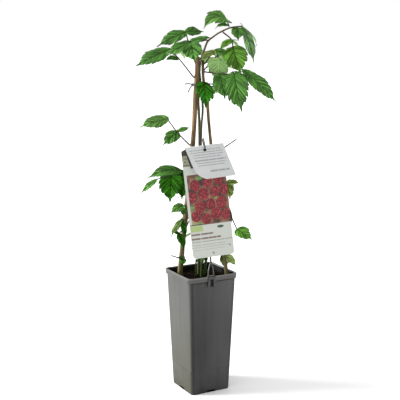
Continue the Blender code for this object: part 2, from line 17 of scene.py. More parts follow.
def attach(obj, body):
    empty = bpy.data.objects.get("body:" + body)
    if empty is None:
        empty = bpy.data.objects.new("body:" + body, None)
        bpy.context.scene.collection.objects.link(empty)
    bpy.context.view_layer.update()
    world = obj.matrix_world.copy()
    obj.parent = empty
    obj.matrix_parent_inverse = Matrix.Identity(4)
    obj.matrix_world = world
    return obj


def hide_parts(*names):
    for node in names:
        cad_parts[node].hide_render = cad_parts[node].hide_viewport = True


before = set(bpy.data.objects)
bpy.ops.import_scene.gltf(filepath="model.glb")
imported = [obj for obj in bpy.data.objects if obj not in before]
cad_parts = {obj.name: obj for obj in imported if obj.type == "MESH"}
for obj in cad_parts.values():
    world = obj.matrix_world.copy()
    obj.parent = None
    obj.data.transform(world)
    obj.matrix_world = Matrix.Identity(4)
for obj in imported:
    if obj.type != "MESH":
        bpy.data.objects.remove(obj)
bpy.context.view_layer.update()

# %% [markdown]
# ## The view
# The photograph looks at one corner of the pot from a little above. A camera can be placed by hand, but one
# that stands on a line through a point on the plant's axis, at an azimuth and an elevation read off the
# pot's rim and foot, is set right with two angles. A small shift of the lens then centres the picture.

# %% Camera
MM = 0.001
AZIMUTH = -28.8
ELEVATION = 11.9
DISTANCE = 1.6
AIM_HEIGHT = 0.3
SENSOR = 36
PICTURE = 400
FOCAL_PIXELS = 892.8
SHIFT_PIXELS = (-0.75, 27)


def camera_back(azimuth, elevation):
    """The unit vector from the aim towards the camera."""
    a, e = math.radians(azimuth), math.radians(elevation)
    return Vector((math.sin(a) * math.cos(e), -math.cos(a) * math.cos(e), math.sin(e)))


lens = bpy.data.cameras.new("camera")
lens.sensor_width = SENSOR
lens.lens = FOCAL_PIXELS / PICTURE * SENSOR
lens.shift_x = SHIFT_PIXELS[0] / PICTURE
lens.shift_y = SHIFT_PIXELS[1] / PICTURE
camera = bpy.data.objects.new("camera", lens)
bpy.context.scene.collection.objects.link(camera)
toward_camera = camera_back(AZIMUTH, ELEVATION)
camera.location = Vector((0, 0, AIM_HEIGHT)) + toward_camera * DISTANCE
camera.rotation_euler = toward_camera.to_track_quat("Z", "Y").to_euler()
bpy.context.scene.camera = camera
print("lens", round(lens.lens, 2), "mm at", tuple(round(x, 3) for x in camera.location))

# %% [markdown]
# ## Small helpers
# A piece may start as a curve or carry modifiers, but it ends as a plain mesh whose object stands at the
# origin. `settle` bakes the modifiers in, which is surer than leaving them live. `dress` ties the piece to
# its body and hides the solid that it stands for.

# %% Mesh helpers
def link(name, mesh, *finishes):
    """A new object with the given materials, in the scene."""
    made = bpy.data.objects.new(name, mesh)
    for finish in finishes:
        mesh.materials.append(finish)
    bpy.context.scene.collection.objects.link(made)
    return made


def settle(item):
    """The modifiers and the object's place are baked into its mesh."""
    graph = bpy.context.evaluated_depsgraph_get()
    graph.update()
    mesh = bpy.data.meshes.new_from_object(item.evaluated_get(graph))
    mesh.transform(item.matrix_world)
    item.modifiers.clear()
    if item.type == "MESH":
        item.data = mesh
        item.matrix_world = Matrix.Identity(4)
        return item
    made = link(item.name + "_mesh", mesh)
    bpy.data.objects.remove(item, do_unlink=True)
    return made


def join(name, items):
    """Several mesh objects made one, with their materials kept."""
    with bpy.context.temp_override(active_object=items[0], selected_editable_objects=items):
        bpy.ops.object.join()
    items[0].name = name
    return items[0]


def soften(mesh, angle=35):
    """Smooth shading, except over edges sharper than the angle."""
    mesh.polygons.foreach_set("use_smooth", [True] * len(mesh.polygons))
    mesh.set_sharp_from_angle(angle=math.radians(angle))


def triangles(mesh):
    return sum(len(face.vertices) - 2 for face in mesh.polygons)


def dress(piece, slot, *nodes):
    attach(piece, "root")
    if nodes:
        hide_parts(*nodes)
    print(piece.name, "has", triangles(piece.data), "triangles")
    return piece


def from_shape(name, shape):
    """A mesh from a bmesh, which is then freed."""
    mesh = bpy.data.meshes.new(name)
    shape.to_mesh(mesh)
    shape.free()
    return mesh


# %% [markdown]
# ## Writing node trees
# Materials and Geometry Nodes are both trees of nodes, which could be linked one line at a time. `add` makes
# one node, with plain numbers set on its sockets and other nodes' outputs linked to them, so that a tree
# reads from top to bottom like a sum. The helpers after it name the few sums that every finish here uses.


# %% Node helpers
def add(tree, kind, sockets=None, **settings):
    """One node, with its settings, and its sockets set to values or linked to other nodes' outputs."""
    made = tree.nodes.new(kind)
    for key, value in settings.items():
        setattr(made, key, value)
    for key, value in (sockets or {}).items():
        if isinstance(value, bpy.types.NodeSocket):
            tree.links.new(value, made.inputs[key])
        else:
            made.inputs[key].default_value = value
    return made


def maths(tree, operation, first, second=0.0, third=0.0):
    made = add(tree, "ShaderNodeMath", {0: first, 1: second, 2: third}, operation=operation)
    return made.outputs[0]


def spread(tree, value, low, high, to_low=0.0, to_high=1.0):
    """The value's range from low to high stretched smoothly over another range."""
    sockets = {"Value": value, "From Min": low, "From Max": high, "To Min": to_low, "To Max": to_high}
    return add(tree, "ShaderNodeMapRange", sockets, interpolation_type="SMOOTHSTEP").outputs["Result"]


def blend(tree, share, first, second):
    """One colour laid over another by a share."""
    made = add(tree, "ShaderNodeMix", {0: share}, data_type="RGBA")
    for key, value in ((6, first), (7, second)):
        if isinstance(value, bpy.types.NodeSocket):
            tree.links.new(value, made.inputs[key])
        else:
            made.inputs[key].default_value = (*value, 1)
    return made.outputs[2]


def object_place(tree, stretch=(1, 1, 1)):
    """Where a point of the piece is, in metres, stretched by a factor for each axis."""
    place = add(tree, "ShaderNodeTexCoord").outputs["Object"]
    return add(tree, "ShaderNodeMapping", {"Vector": place, "Scale": stretch}).outputs[0]


def noise(tree, place, scale, detail=3.0):
    return add(tree, "ShaderNodeTexNoise", {"Vector": place, "Scale": scale, "Detail": detail}).outputs[0]


def band(tree, value, low, high, soft=0.4):
    """1 between two values and 0 outside them, with soft edges."""
    rise = spread(tree, value, low - soft, low + soft)
    fall = spread(tree, value, high - soft, high + soft, 1.0, 0.0)
    return maths(tree, "MULTIPLY", rise, fall)


def patch(tree, across, along, left, right, low, high, soft=0.4):
    """1 inside a rectangle and 0 outside it, with soft edges."""
    return maths(tree, "MULTIPLY", band(tree, across, left, right, soft), band(tree, along, low, high, soft))


def finish(name, roughness, specular=0.5):
    """A new material: its tree and its shader."""
    made = bpy.data.materials.new(name)
    made.use_nodes = True
    shader = made.node_tree.nodes["Principled BSDF"]
    shader.inputs["Roughness"].default_value = roughness
    shader.inputs["Specular IOR Level"].default_value = specular
    return made, made.node_tree, shader


def coat(tree, shader, colour, height=None, depth=0.0003, roughness=None):
    """The colour, the relief and the roughness linked to the shader."""
    tree.links.new(colour, shader.inputs["Base Color"])
    if height is not None:
        bump = add(tree, "ShaderNodeBump", {"Height": height, "Distance": depth, "Strength": 1.0})
        tree.links.new(bump.outputs[0], shader.inputs["Normal"])
    if roughness is not None:
        tree.links.new(roughness, shader.inputs["Roughness"])


# %% [markdown]
# ## Finishes
# The pot is grey moulded polypropylene with a fine grain and faint vertical drag marks from the mould. Its
# colour also carries painted light: the wall is paler to the right and towards the top, the rim band paler
# still, the lip has a painted highlight, the corners a painted shade and the wall under the rim band
# a painted shadow. The left side is olive grey, darker towards its foot. A picture could be wrapped round
# it. But every mark has its own height or side, so the colours are worked out from the place on the piece,
# and they stay sharp from any distance.


# %% Sizes of the pot in millimetres
POT_HEIGHT = 220
POT_BASE_HALF = 39.25
POT_RIM_HALF = 50
POT_CORNER = 7
POT_WALL = 1.1
POT_FLOOR = 2
BAND_HEIGHT = 9.2
BAND_STEP = 2.5
BAND_FOOT = POT_HEIGHT - BAND_HEIGHT
RIM_THICK = 3.4
LIP_DEPTH = 2.2
SHADE_HEIGHT = 0.9
SILL = 0.3
CORNER_STEPS = 10
NOTCH_WIDTH = 16
NOTCH_HEIGHT = 4.5
DRAIN_RADIUS = 4
DRAIN_OFFSET = 20
MOULD_LINE = 45
GAP = 0.3
SOIL_TOP = 209

# %% Moulded plastic of the pot
WALL_SLOPE = 0.0382
UNDER_BAND_SHADOW = (0.2096, 0.2121)
BAND_RISE = (0.2112, 0.2122)
CORNER_SHADE_TOP = (0.2112, 0.2100)
LIP_RISE = (0.2176, 0.2192)
DULL_LIP = (0.2165, 0.2185)
SEAM = (0.0435, 0.0448)
SHADED_GREY = (0.0103, 0.0097, 0.0098)
LIT_GREY = (0.060, 0.0583, 0.0588)
BAND_LIT_GREY = (0.070, 0.070, 0.065)
LIP_HIGHLIGHT_GREY = (0.125, 0.126, 0.118)
OLIVE_GREYS = ((0.033, 0.0328, 0.0290), (0.044, 0.0438, 0.0390))
OLIVE_FOOT = (0.0190, 0.0187, 0.0060)
OLIVE_LIP_HIGHLIGHT = (0.088, 0.089, 0.083)


def wall_colour(tree, across, height, drag, left_face):
    """Grey with painted light, paler to the right, up the wall and on the band; olive on the left face."""
    # Painted light: the wall is paler to the right and towards the top, and the rim band paler still.
    share = spread(tree, across, -0.03, 0.038, 0.10, 0.60)
    share = maths(tree, "ADD", share, spread(tree, height, 0.11, 0.20, 0.0, 0.24))
    share = maths(tree, "ADD", share, spread(tree, drag, 0.3, 0.7, -0.08, 0.08))
    plain = blend(tree, share, SHADED_GREY, LIT_GREY)
    plain = blend(tree, spread(tree, height, *BAND_RISE, 0.0, 0.75), plain, BAND_LIT_GREY)
    olive = blend(tree, spread(tree, drag, 0.3, 0.7), *OLIVE_GREYS)
    olive = blend(tree, spread(tree, height, 0.18, -0.03), olive, OLIVE_FOOT)
    return blend(tree, left_face, plain, olive)


def pot_finish():
    """Grey plastic, olive on its left, with painted light, shade and highlight, and the mould's marks."""
    made, tree, shader = finish("pot_plastic", 0.42, 0.35)
    drag = noise(tree, object_place(tree, (60, 60, 4)), 1.5, 4)
    place = add(tree, "ShaderNodeSeparateXYZ", {0: object_place(tree)})
    across, height = place.outputs["X"], place.outputs["Z"]
    half = maths(tree, "MULTIPLY_ADD", height, WALL_SLOPE, POT_BASE_HALF * MM)
    share_x = maths(tree, "DIVIDE", across, half)
    share_y = maths(tree, "DIVIDE", maths(tree, "ABSOLUTE", place.outputs["Y"]), half)
    # The left face is olive grey, darker towards its foot.
    left_face = spread(tree, share_x, -0.955, -0.985)
    base = wall_colour(tree, across, height, drag, left_face)
    # Painted shadow: a dark line under the rim band, left off the left face, which the sun lights.
    others = maths(tree, "SUBTRACT", 1.0, left_face)
    line = maths(tree, "MULTIPLY", band(tree, height, *UNDER_BAND_SHADOW, 0.0005), others)
    base = blend(tree, line, base, (0.002, 0.002, 0.002))
    # Painted highlight along the lip, dimmer on the left face.
    lip = blend(tree, left_face, LIP_HIGHLIGHT_GREY, OLIVE_LIP_HIGHLIGHT)
    base = blend(tree, spread(tree, height, *LIP_RISE), base, lip)
    # Painted shade: a darker strip beside each corner, fading out below the rim band.
    corner = band(tree, maths(tree, "ABSOLUTE", share_x), 0.86, 0.97, 0.05)
    corner = maths(tree, "MULTIPLY", corner, spread(tree, share_y, 0.93, 0.99))
    corner = maths(tree, "MULTIPLY", corner, spread(tree, height, *CORNER_SHADE_TOP, 0.0, 0.85))
    base = blend(tree, corner, base, (0.004, 0.004, 0.004))
    seam = maths(tree, "MULTIPLY", band(tree, height, *SEAM, 0.0006), 0.35)
    base = blend(tree, seam, base, (0.008, 0.008, 0.008))
    cloud = noise(tree, object_place(tree), 22, 5)
    rough = spread(tree, cloud, 0.25, 0.75, 0.36, 0.52)
    rough = maths(tree, "MAXIMUM", rough, spread(tree, height, *DULL_LIP, 0.0, 0.75))
    grain = noise(tree, object_place(tree), 1400, 2)
    coat(tree, shader, base, grain, 0.00005, rough)
    return made


def shade_finish():
    """Painted shade: a dull near-black for the pot's inside, its notches and the strip under its rim."""
    made, tree, shader = finish("pot_shade", 0.9, 0.05)
    cloud = noise(tree, object_place(tree), 60, 3)
    coat(tree, shader, blend(tree, cloud, (0.005, 0.005, 0.0045), (0.012, 0.012, 0.011)))
    return made


POT_PLASTIC = pot_finish()
POT_SHADE = shade_finish()
print("pot finishes:", POT_PLASTIC.name, POT_SHADE.name)


# %% [markdown]
# The holder is a harder plastic of so dark a grey that mostly its gloss shows its shape. One flat colour
# would look like a hole in the picture, so a soft noise mottles both the colour and the gloss. The same
# recipe with near-black colours makes the tongue that lies sunk between the clip's rails, as painted shade
# in that slot.


# %% Plastic of the holder
def holder_finish(name, light, dark, shine):
    """A dark plastic, mottled between two near colours, with an uneven gloss."""
    made, tree, shader = finish(name, 0.35, shine)
    cloud = noise(tree, object_place(tree), 120, 3)
    base = blend(tree, spread(tree, cloud, 0.3, 0.7), light, dark)
    grain = noise(tree, object_place(tree), 1800, 1)
    coat(tree, shader, base, grain, 0.00003, spread(tree, cloud, 0, 1, 0.3, 0.45))
    return made


HOLDER_PLASTIC = holder_finish("holder_plastic", (0.022, 0.023, 0.021), (0.045, 0.046, 0.043), 0.4)
HOLDER_TONGUE_SHADE = holder_finish("holder_tongue_shade", (0.002, 0.002, 0.002), (0.004, 0.004, 0.004), 0.1)
print("holder finishes:", HOLDER_PLASTIC.name, HOLDER_TONGUE_SHADE.name)


# %% [markdown]
# Compost is dark when moist, with brown fibres and a few paler crumbs, and it never shines evenly. Here it is
# nearly black, its darkness partly painted shade, since it lies in the pot's shade. Two noises of unlike
# grain mix its colours, and a Voronoi pattern, whose cells are like crumbs, gives the relief that is too fine
# for the mesh.


# %% Compost
def compost_finish():
    """Nearly black, partly as painted shade, with paler fibres in it and the relief of small crumbs."""
    made, tree, shader = finish("compost", 0.95, 0.05)
    crumbs = add(tree, "ShaderNodeTexVoronoi", {"Vector": object_place(tree), "Scale": 420.0}).outputs[0]
    damp = noise(tree, object_place(tree), 90, 5)
    dark = blend(tree, spread(tree, damp, 0.35, 0.7), (0.004, 0.003, 0.002), (0.020, 0.012, 0.006))
    fibres = spread(tree, noise(tree, object_place(tree), 260, 2), 0.66, 0.72)
    coat(tree, shader, blend(tree, fibres, dark, (0.08, 0.050, 0.025)), crumbs, 0.0008)
    return made


COMPOST = compost_finish()
print("compost finish:", COMPOST.name)


# %% [markdown]
# The two outer canes have dried to a tan bark with darker, lengthwise streaks, and turn olive towards the
# foot. The inner ones and the leaf stalks are still green, flushed with purple-brown. All of them are one
# recipe with other colours: noise that is stretched along the cane makes the streaks, where a ring pattern
# would make it look turned on a lathe.


# %% Bark
OLIVE_HEIGHTS = (0.38, 0.27)
OLIVE_BARK = ((0.105, 0.092, 0.034), (0.046, 0.041, 0.011))
BARK_ROWS = {
    "bark": ((0.195, 0.122, 0.056), (0.055, 0.033, 0.015), (0.028, 0.017, 0.009), 0.65, 0.85),
    "green_bark": ((0.070, 0.066, 0.030), (0.028, 0.028, 0.012), (0.036, 0.022, 0.012), 0.55),
    "stalk": ((0.040, 0.030, 0.016), (0.024, 0.014, 0.011), (0.020, 0.007, 0.008), 0.5),
    "bough_bark": ((0.095, 0.058, 0.026), (0.036, 0.018, 0.009), (0.07, 0.035, 0.018), 0.55),
    "shoot_bark": ((0.034, 0.066, 0.008), (0.013, 0.034, 0.003), (0.055, 0.058, 0.018), 0.5),
}


def bark_finish(name, pale, dark, flush, roughness, olive_share=0.0):
    """Streaks of two colours, blotches of a third and, on the old canes, an olive foot."""
    made, tree, shader = finish(name, roughness, 0.2)
    streak = noise(tree, object_place(tree, (500, 500, 22)), 1.0, 4)
    blotch = noise(tree, object_place(tree, (60, 60, 14)), 1.0, 3)
    streaks = spread(tree, streak, 0.35, 0.65)
    colour = blend(tree, streaks, pale, dark)
    colour = blend(tree, maths(tree, "MULTIPLY", spread(tree, blotch, 0.5, 0.68), 0.6), colour, flush)
    if olive_share:
        height = add(tree, "ShaderNodeSeparateXYZ", {0: object_place(tree)}).outputs["Z"]
        olive = blend(tree, streaks, *OLIVE_BARK)
        colour = blend(tree, spread(tree, height, *OLIVE_HEIGHTS, 0.0, olive_share), colour, olive)
    coat(tree, shader, colour, streak, 0.0003)
    return made


BARKS = {name: bark_finish(name, *row) for name, row in BARK_ROWS.items()}
print("bark finishes:", list(BARKS))


# %% [markdown]
# A leaf's upper side is green with sunken side veins and a net of finer ones, all drawn darker as painted
# shade in their creases, and mottled lighter and darker, partly as painted highlight and shade on the
# swellings. Its underside is paler, and the veins stand out of it. Lines drawn in space would cut across a
# curled blade, so each blade carries three UV maps, and the lines follow it however it bends. On "veins" U
# counts the side veins along the blade and V is the distance from the midrib. On "blade" it lies flat, for
# the finest net. On "margin" U is the share of the way out to the edge, which is painted a little darker
# as shade.


# %% Leaf blades
UPPER_TINTS = {
    "mid": ((0.062, 0.200, 0.022), 0.20),
    "soft": ((0.095, 0.280, 0.042), 0.20),
    "grass": ((0.085, 0.240, 0.028), 0.20),
    "pale": ((0.120, 0.285, 0.050), 0.20),
    "grey": ((0.160, 0.320, 0.110), 0.25),
    "deep": ((0.026, 0.148, 0.003), 0.06),
    "vivid": ((0.030, 0.190, 0.004), 0.08),
    "bright": ((0.087, 0.235, 0.018), 0.15),
    "fresh": ((0.120, 0.330, 0.034), 0.15),
    "olive": ((0.100, 0.180, 0.030), 0.20),
    "lime": ((0.215, 0.300, 0.062), 0.20),
    # A lighter copy of the green: painted light for a leaflet that lies in shade.
    "sunny": ((0.330, 0.470, 0.120), 0.20),
}
SUNKEN_VEIN_SHADE = 0.35
RAISED_VEIN = 1.5
EDGE_SHADE = 0.4


def shaded(colour, share, lift=0.0):
    """A colour made darker or lighter by a factor."""
    return [min(1, share * part + lift) for part in colour]


def blade_finish(name, colour, line_share, net_depth, specular, dark, light):
    """A mottled leaf colour with side veins, a midrib, a fine net and a darker edge.

    A positive line_share draws dark veins, painted shade in the creases of the upper side, and a negative
    one pale ones. The colour is mottled between the factors dark and light, partly as painted highlight
    and shade.
    """
    made, tree, shader = finish(name, 0.6, specular)
    vein_place = add(tree, "ShaderNodeUVMap", uv_map="veins").outputs[0]
    veins = add(tree, "ShaderNodeSeparateXYZ", {0: vein_place})
    nearest = maths(tree, "PINGPONG", veins.outputs["X"], 0.5)
    midrib = spread(tree, maths(tree, "ABSOLUTE", veins.outputs["Y"]), 0.12, 0.03)
    line = maths(tree, "MAXIMUM", spread(tree, nearest, 0.2, 0.04), midrib)
    flat = add(tree, "ShaderNodeUVMap", uv_map="blade").outputs[0]
    net = add(tree, "ShaderNodeTexVoronoi", {"Vector": flat, "Scale": 62.0}, feature="DISTANCE_TO_EDGE")
    ridge = spread(tree, net.outputs["Distance"], 0.0, 0.18)
    streaks = add(tree, "ShaderNodeMapping", {"Vector": vein_place, "Scale": (1.15, 0.5, 1)}).outputs[0]
    # The mottle is partly painted highlight and shade on the swellings between the veins.
    mottle = spread(tree, noise(tree, streaks, 1, 2), 0.36, 0.64)
    deep = shaded(colour, dark)
    base = blend(tree, mottle, deep, shaded(colour, light, 0.004))
    # Painted shade: the fine net is drawn darker.
    base = blend(tree, spread(tree, ridge, 0.0, 1.0, 0.3, 0.0), base, deep)
    # Painted shade: dark veins on the upper side; the underside's pale veins are their own colour.
    vein_colour = shaded(colour, SUNKEN_VEIN_SHADE if line_share > 0 else RAISED_VEIN)
    base = blend(tree, maths(tree, "MULTIPLY", line, abs(line_share)), base, vein_colour)
    margin = add(tree, "ShaderNodeUVMap", uv_map="margin").outputs[0]
    outward = add(tree, "ShaderNodeSeparateXYZ", {0: margin}).outputs["X"]
    # Painted shade: the blade is darker towards its edge.
    rim = maths(tree, "MULTIPLY", spread(tree, outward, 0.86, 1.0), 0.6)
    base = blend(tree, rim, base, shaded(colour, EDGE_SHADE))
    relief = maths(tree, "SUBTRACT", ridge, maths(tree, "MULTIPLY", line, 1.5))
    coat(tree, shader, base, relief, net_depth)
    return made


BLADES = {}
for kind, (tint, shine) in UPPER_TINTS.items():
    BLADES[kind] = blade_finish("leaf_" + kind, tint, 0.85, 0.0005, shine, 0.42, 1.6)
UNDERSIDE = blade_finish("leaf_underside", (0.27, 0.45, 0.16), -0.5, -0.00025, 0.15, 0.8, 1.15)
print("leaf finishes:", [item.name for item in BLADES.values()] + [UNDERSIDE.name])

# %% [markdown]
# ## The pot
# A tall square nursery pot: the walls widen towards a rim band that stands out by 2.5 mm, the corners are
# round, and the foot is cut by a notch in each side. A cube with a Bevel and a Solidify could be the start,
# but foot, wall, band and lip each have a corner radius of their own. So the skin is lofted through rounded
# squares, from the outside of the foot up over the rim and down to the floor inside, and Booleans then cut
# the notches and the drain holes.

# %% Loft through rounded squares
def rounded_square(half, corner, z):
    """The points of a square outline with round corners, anticlockwise seen from above."""
    points = []
    for quarter in range(4):
        turn = math.pi / 2 * quarter
        middle = Matrix.Rotation(turn, 2) @ Vector((half - corner, half - corner))
        for k in range(CORNER_STEPS + 1):
            angle = turn + math.pi / 2 * k / CORNER_STEPS
            spot = middle + Vector((math.cos(angle), math.sin(angle))) * corner
            points.append(Vector((spot.x, spot.y, z)) * MM)
    return points


def loft(name, outlines):
    """A closed skin through outlines of equal point counts, with a face at each end."""
    shape = bmesh.new()
    rings = [[shape.verts.new(point) for point in outline] for outline in outlines]
    for lower, upper in zip(rings, rings[1:]):
        for k in range(len(lower)):
            after = (k + 1) % len(lower)
            shape.faces.new((lower[k], lower[after], upper[after], upper[k]))
    shape.faces.new(rings[0][::-1])
    shape.faces.new(rings[-1])
    bmesh.ops.recalc_face_normals(shape, faces=shape.faces)
    return from_shape(name, shape)


def outer_half(z):
    """Half the width of the outer wall at a height."""
    top = POT_RIM_HALF - BAND_STEP - 0.2
    return POT_BASE_HALF + (top - POT_BASE_HALF) * z / BAND_FOOT


# %% Wall of the pot
def pot_outlines():
    """The rounded squares of the skin: half the width, the corner's radius and the height of each."""
    inner = POT_RIM_HALF - RIM_THICK
    low, high = MOULD_LINE - 0.5, MOULD_LINE + 0.5
    shade = BAND_FOOT - SHADE_HEIGHT
    steps = [
        (POT_BASE_HALF - 1.2, POT_CORNER - 1.2, 0),
        (POT_BASE_HALF - 0.3, POT_CORNER - 0.3, 0.3),
        (outer_half(1.2), POT_CORNER, 1.2),
        (outer_half(low), POT_CORNER, low),
        (outer_half(MOULD_LINE) + 0.15, POT_CORNER, MOULD_LINE),
        (outer_half(high), POT_CORNER, high),
        (outer_half(shade), POT_CORNER + 1, shade),
        (outer_half(BAND_FOOT), POT_CORNER + 1, BAND_FOOT),
        (POT_RIM_HALF - 0.9, POT_CORNER + 2.5, BAND_FOOT),
        (POT_RIM_HALF - 0.4, POT_CORNER + 3, BAND_FOOT + 0.5),
        (POT_RIM_HALF, POT_CORNER + 3, POT_HEIGHT - 1.5),
        (POT_RIM_HALF - 0.2, POT_CORNER + 2.8, POT_HEIGHT - 0.5),
        (POT_RIM_HALF - 0.9, POT_CORNER + 2.1, POT_HEIGHT),
        (inner + 0.8, POT_CORNER + 0.8, POT_HEIGHT),
        (inner + 0.2, POT_CORNER + 0.2, POT_HEIGHT - 0.4),
        (inner, POT_CORNER, POT_HEIGHT - 1.2),
        (inner - 0.05, POT_CORNER, POT_HEIGHT - LIP_DEPTH),
        (POT_BASE_HALF - POT_WALL, POT_CORNER - 1, POT_FLOOR),
    ]
    return [rounded_square(*step) for step in steps]


def box(size, place, turn=None):
    """A box of a size in millimetres about a place, turned there."""
    shape = bmesh.new()
    at = Matrix.Translation(Vector(place) * MM)
    stretch = Matrix.Diagonal((size[0] * MM, size[1] * MM, size[2] * MM, 1))
    bmesh.ops.create_cube(shape, size=1, matrix=at @ (turn or Matrix()) @ stretch)
    return from_shape("box", shape)


def rod(radius, length, place, turn, sides=32):
    """A round bar, used to cut a hole, whose axis is Z before it is turned."""
    shape = bmesh.new()
    at = Matrix.Translation(place) @ turn
    size = radius * MM
    bmesh.ops.create_cone(
        shape, cap_ends=True, segments=sides, radius1=size, radius2=size, depth=length * MM, matrix=at
    )
    return from_shape("rod", shape)


def carve(item, meshes):
    """The meshes cut out of the item, one by one."""
    for mesh in meshes:
        tool = link("tool", mesh)
        hole = item.modifiers.new("Hole", "BOOLEAN")
        hole.operation = "DIFFERENCE"
        hole.solver = "EXACT"
        hole.object = tool
        settle(item)
        bpy.data.objects.remove(tool, do_unlink=True)


def in_shade(spot, normal):
    """Whether a face lies inside the pot, in a notch or just under the rim band, for the painted shade."""
    widest = max(abs(spot.x), abs(spot.y))
    inside = spot.xy.dot(normal.xy) < 0 and spot.z < POT_HEIGHT - LIP_DEPTH
    notch = 0.1 < spot.z < NOTCH_HEIGHT + 0.1 and widest < POT_BASE_HALF - 0.45
    under = BAND_FOOT - SHADE_HEIGHT < spot.z < BAND_FOOT + 0.1 and abs(spot.y) > abs(spot.x)
    return inside or notch or under


def make_pot():
    pot = link("pot_shell", loft("pot_shell", pot_outlines()), POT_PLASTIC, POT_SHADE)
    holes = []
    for side in range(4):
        turn = Matrix.Rotation(math.pi / 2 * side, 4, "Z")
        middle = turn @ Vector((0, -POT_BASE_HALF, (NOTCH_HEIGHT + SILL) / 2))
        holes.append(box((NOTCH_WIDTH, 12, NOTCH_HEIGHT - SILL), middle, turn))
        drain = turn @ Vector((DRAIN_OFFSET, DRAIN_OFFSET, POT_FLOOR / 2)) * MM
        holes.append(rod(DRAIN_RADIUS, 4 * POT_FLOOR, drain, Matrix()))
    carve(pot, holes)
    # Faces inside the pot, in a notch or under the rim band take the near-black finish: painted shade.
    for face in pot.data.polygons:
        if in_shade(face.center / MM, face.normal):
            face.material_index = 1
    soften(pot.data)
    return dress(pot, "pot_plastic", "pot")


make_pot()

# %% [markdown]
# ## The compost
# A solid block fills the pot. Its top is a fine grid that Geometry Nodes roughen and strew with crumbs:
# points are dealt over the grid, and a small stone shape of random size and turn is set on each. Relief in
# the material alone would leave the top's edge as straight as a ruler, and a loop that places thousands of
# crumbs one by one would be slow.


# %% Body of the compost
def make_compost():
    """Make the block of compost, a little clear of the wall, and give half the width of its top."""
    slope = (POT_RIM_HALF - RIM_THICK - POT_BASE_HALF + POT_WALL) / (POT_HEIGHT - 1 - POT_FLOOR)
    low = POT_FLOOR + GAP
    top = SOIL_TOP - 1.5

    def inner_half(z):
        return POT_BASE_HALF - POT_WALL + slope * (z - POT_FLOOR) - GAP

    foot = rounded_square(inner_half(low), POT_CORNER - 1, low)
    brim = rounded_square(inner_half(top), POT_CORNER, top)
    body = link("compost_body", loft("compost_body", [foot, brim]), COMPOST)
    dress(body, "soil", "soil")
    return inner_half(top)


compost_half = make_compost()


# %% Crumbs on the compost by Geometry Nodes
def node_tree(name, inputs):
    """An empty Geometry Nodes tree with a geometry going in and out and further named inputs."""
    tree = bpy.data.node_groups.new(name, "GeometryNodeTree")
    tree.interface.new_socket("Geometry", in_out="INPUT", socket_type="NodeSocketGeometry")
    tree.interface.new_socket("Geometry", in_out="OUTPUT", socket_type="NodeSocketGeometry")
    for title, kind in inputs:
        tree.interface.new_socket(title, in_out="INPUT", socket_type=kind)
    return tree, add(tree, "NodeGroupInput").outputs, add(tree, "NodeGroupOutput")


def grow(item, tree, values):
    """A Geometry Nodes modifier with its named inputs set, baked into a plain mesh."""
    nodes = item.modifiers.new("Nodes", "NODES")
    nodes.node_group = tree
    for socket in tree.interface.items_tree:
        if socket.item_type == "SOCKET" and socket.name in values:
            nodes[socket.identifier] = values[socket.name]
    return settle(item)


def joined(tree, *parts):
    """The parts as one geometry."""
    whole = add(tree, "GeometryNodeJoinGeometry")
    for part in parts:
        tree.links.new(part, whole.inputs[0])
    return whole.outputs[0]


def finish_tree(tree, whole, given, end):
    """The geometry made real and given its material, as what the tree hands back."""
    real = add(tree, "GeometryNodeRealizeInstances", {0: whole}).outputs[0]
    done = add(tree, "GeometryNodeSetMaterial", {"Geometry": real, "Material": given["Finish"]})
    tree.links.new(done.outputs[0], end.inputs[0])
    return tree


def crumb_tree():
    inputs = [("Density", "NodeSocketFloat"), ("Crumb size", "NodeSocketFloat")]
    inputs += [("Relief", "NodeSocketFloat"), ("Seed", "NodeSocketInt"), ("Finish", "NodeSocketMaterial")]
    tree, given, end = node_tree("crumbs", inputs)
    rough = add(tree, "ShaderNodeTexNoise", {"Scale": 70.0, "Detail": 4.0}).outputs[0]
    lift = maths(tree, "MULTIPLY", maths(tree, "SUBTRACT", rough, 0.5), given["Relief"])
    offset = add(tree, "ShaderNodeCombineXYZ", {"Z": lift}).outputs[0]
    sockets = {"Geometry": given["Geometry"], "Offset": offset}
    ground = add(tree, "GeometryNodeSetPosition", sockets).outputs[0]
    sockets = {"Mesh": ground, "Density": given["Density"], "Seed": given["Seed"]}
    points = add(tree, "GeometryNodeDistributePointsOnFaces", sockets).outputs["Points"]
    sockets = {"Radius": given["Crumb size"], "Subdivisions": 1}
    stone = add(tree, "GeometryNodeMeshIcoSphere", sockets).outputs["Mesh"]
    turn = add(tree, "FunctionNodeRandomValue", {1: (6.28, 6.28, 6.28)}, data_type="FLOAT_VECTOR").outputs[0]
    range_of_sizes = {0: (0.3, 0.3, 0.2), 1: (1.6, 1.1, 0.8)}
    size = add(tree, "FunctionNodeRandomValue", range_of_sizes, data_type="FLOAT_VECTOR").outputs[0]
    sockets = {"Points": points, "Instance": stone, "Rotation": turn, "Scale": size}
    strewn = add(tree, "GeometryNodeInstanceOnPoints", sockets).outputs[0]
    return finish_tree(tree, joined(tree, ground, strewn), given, end)


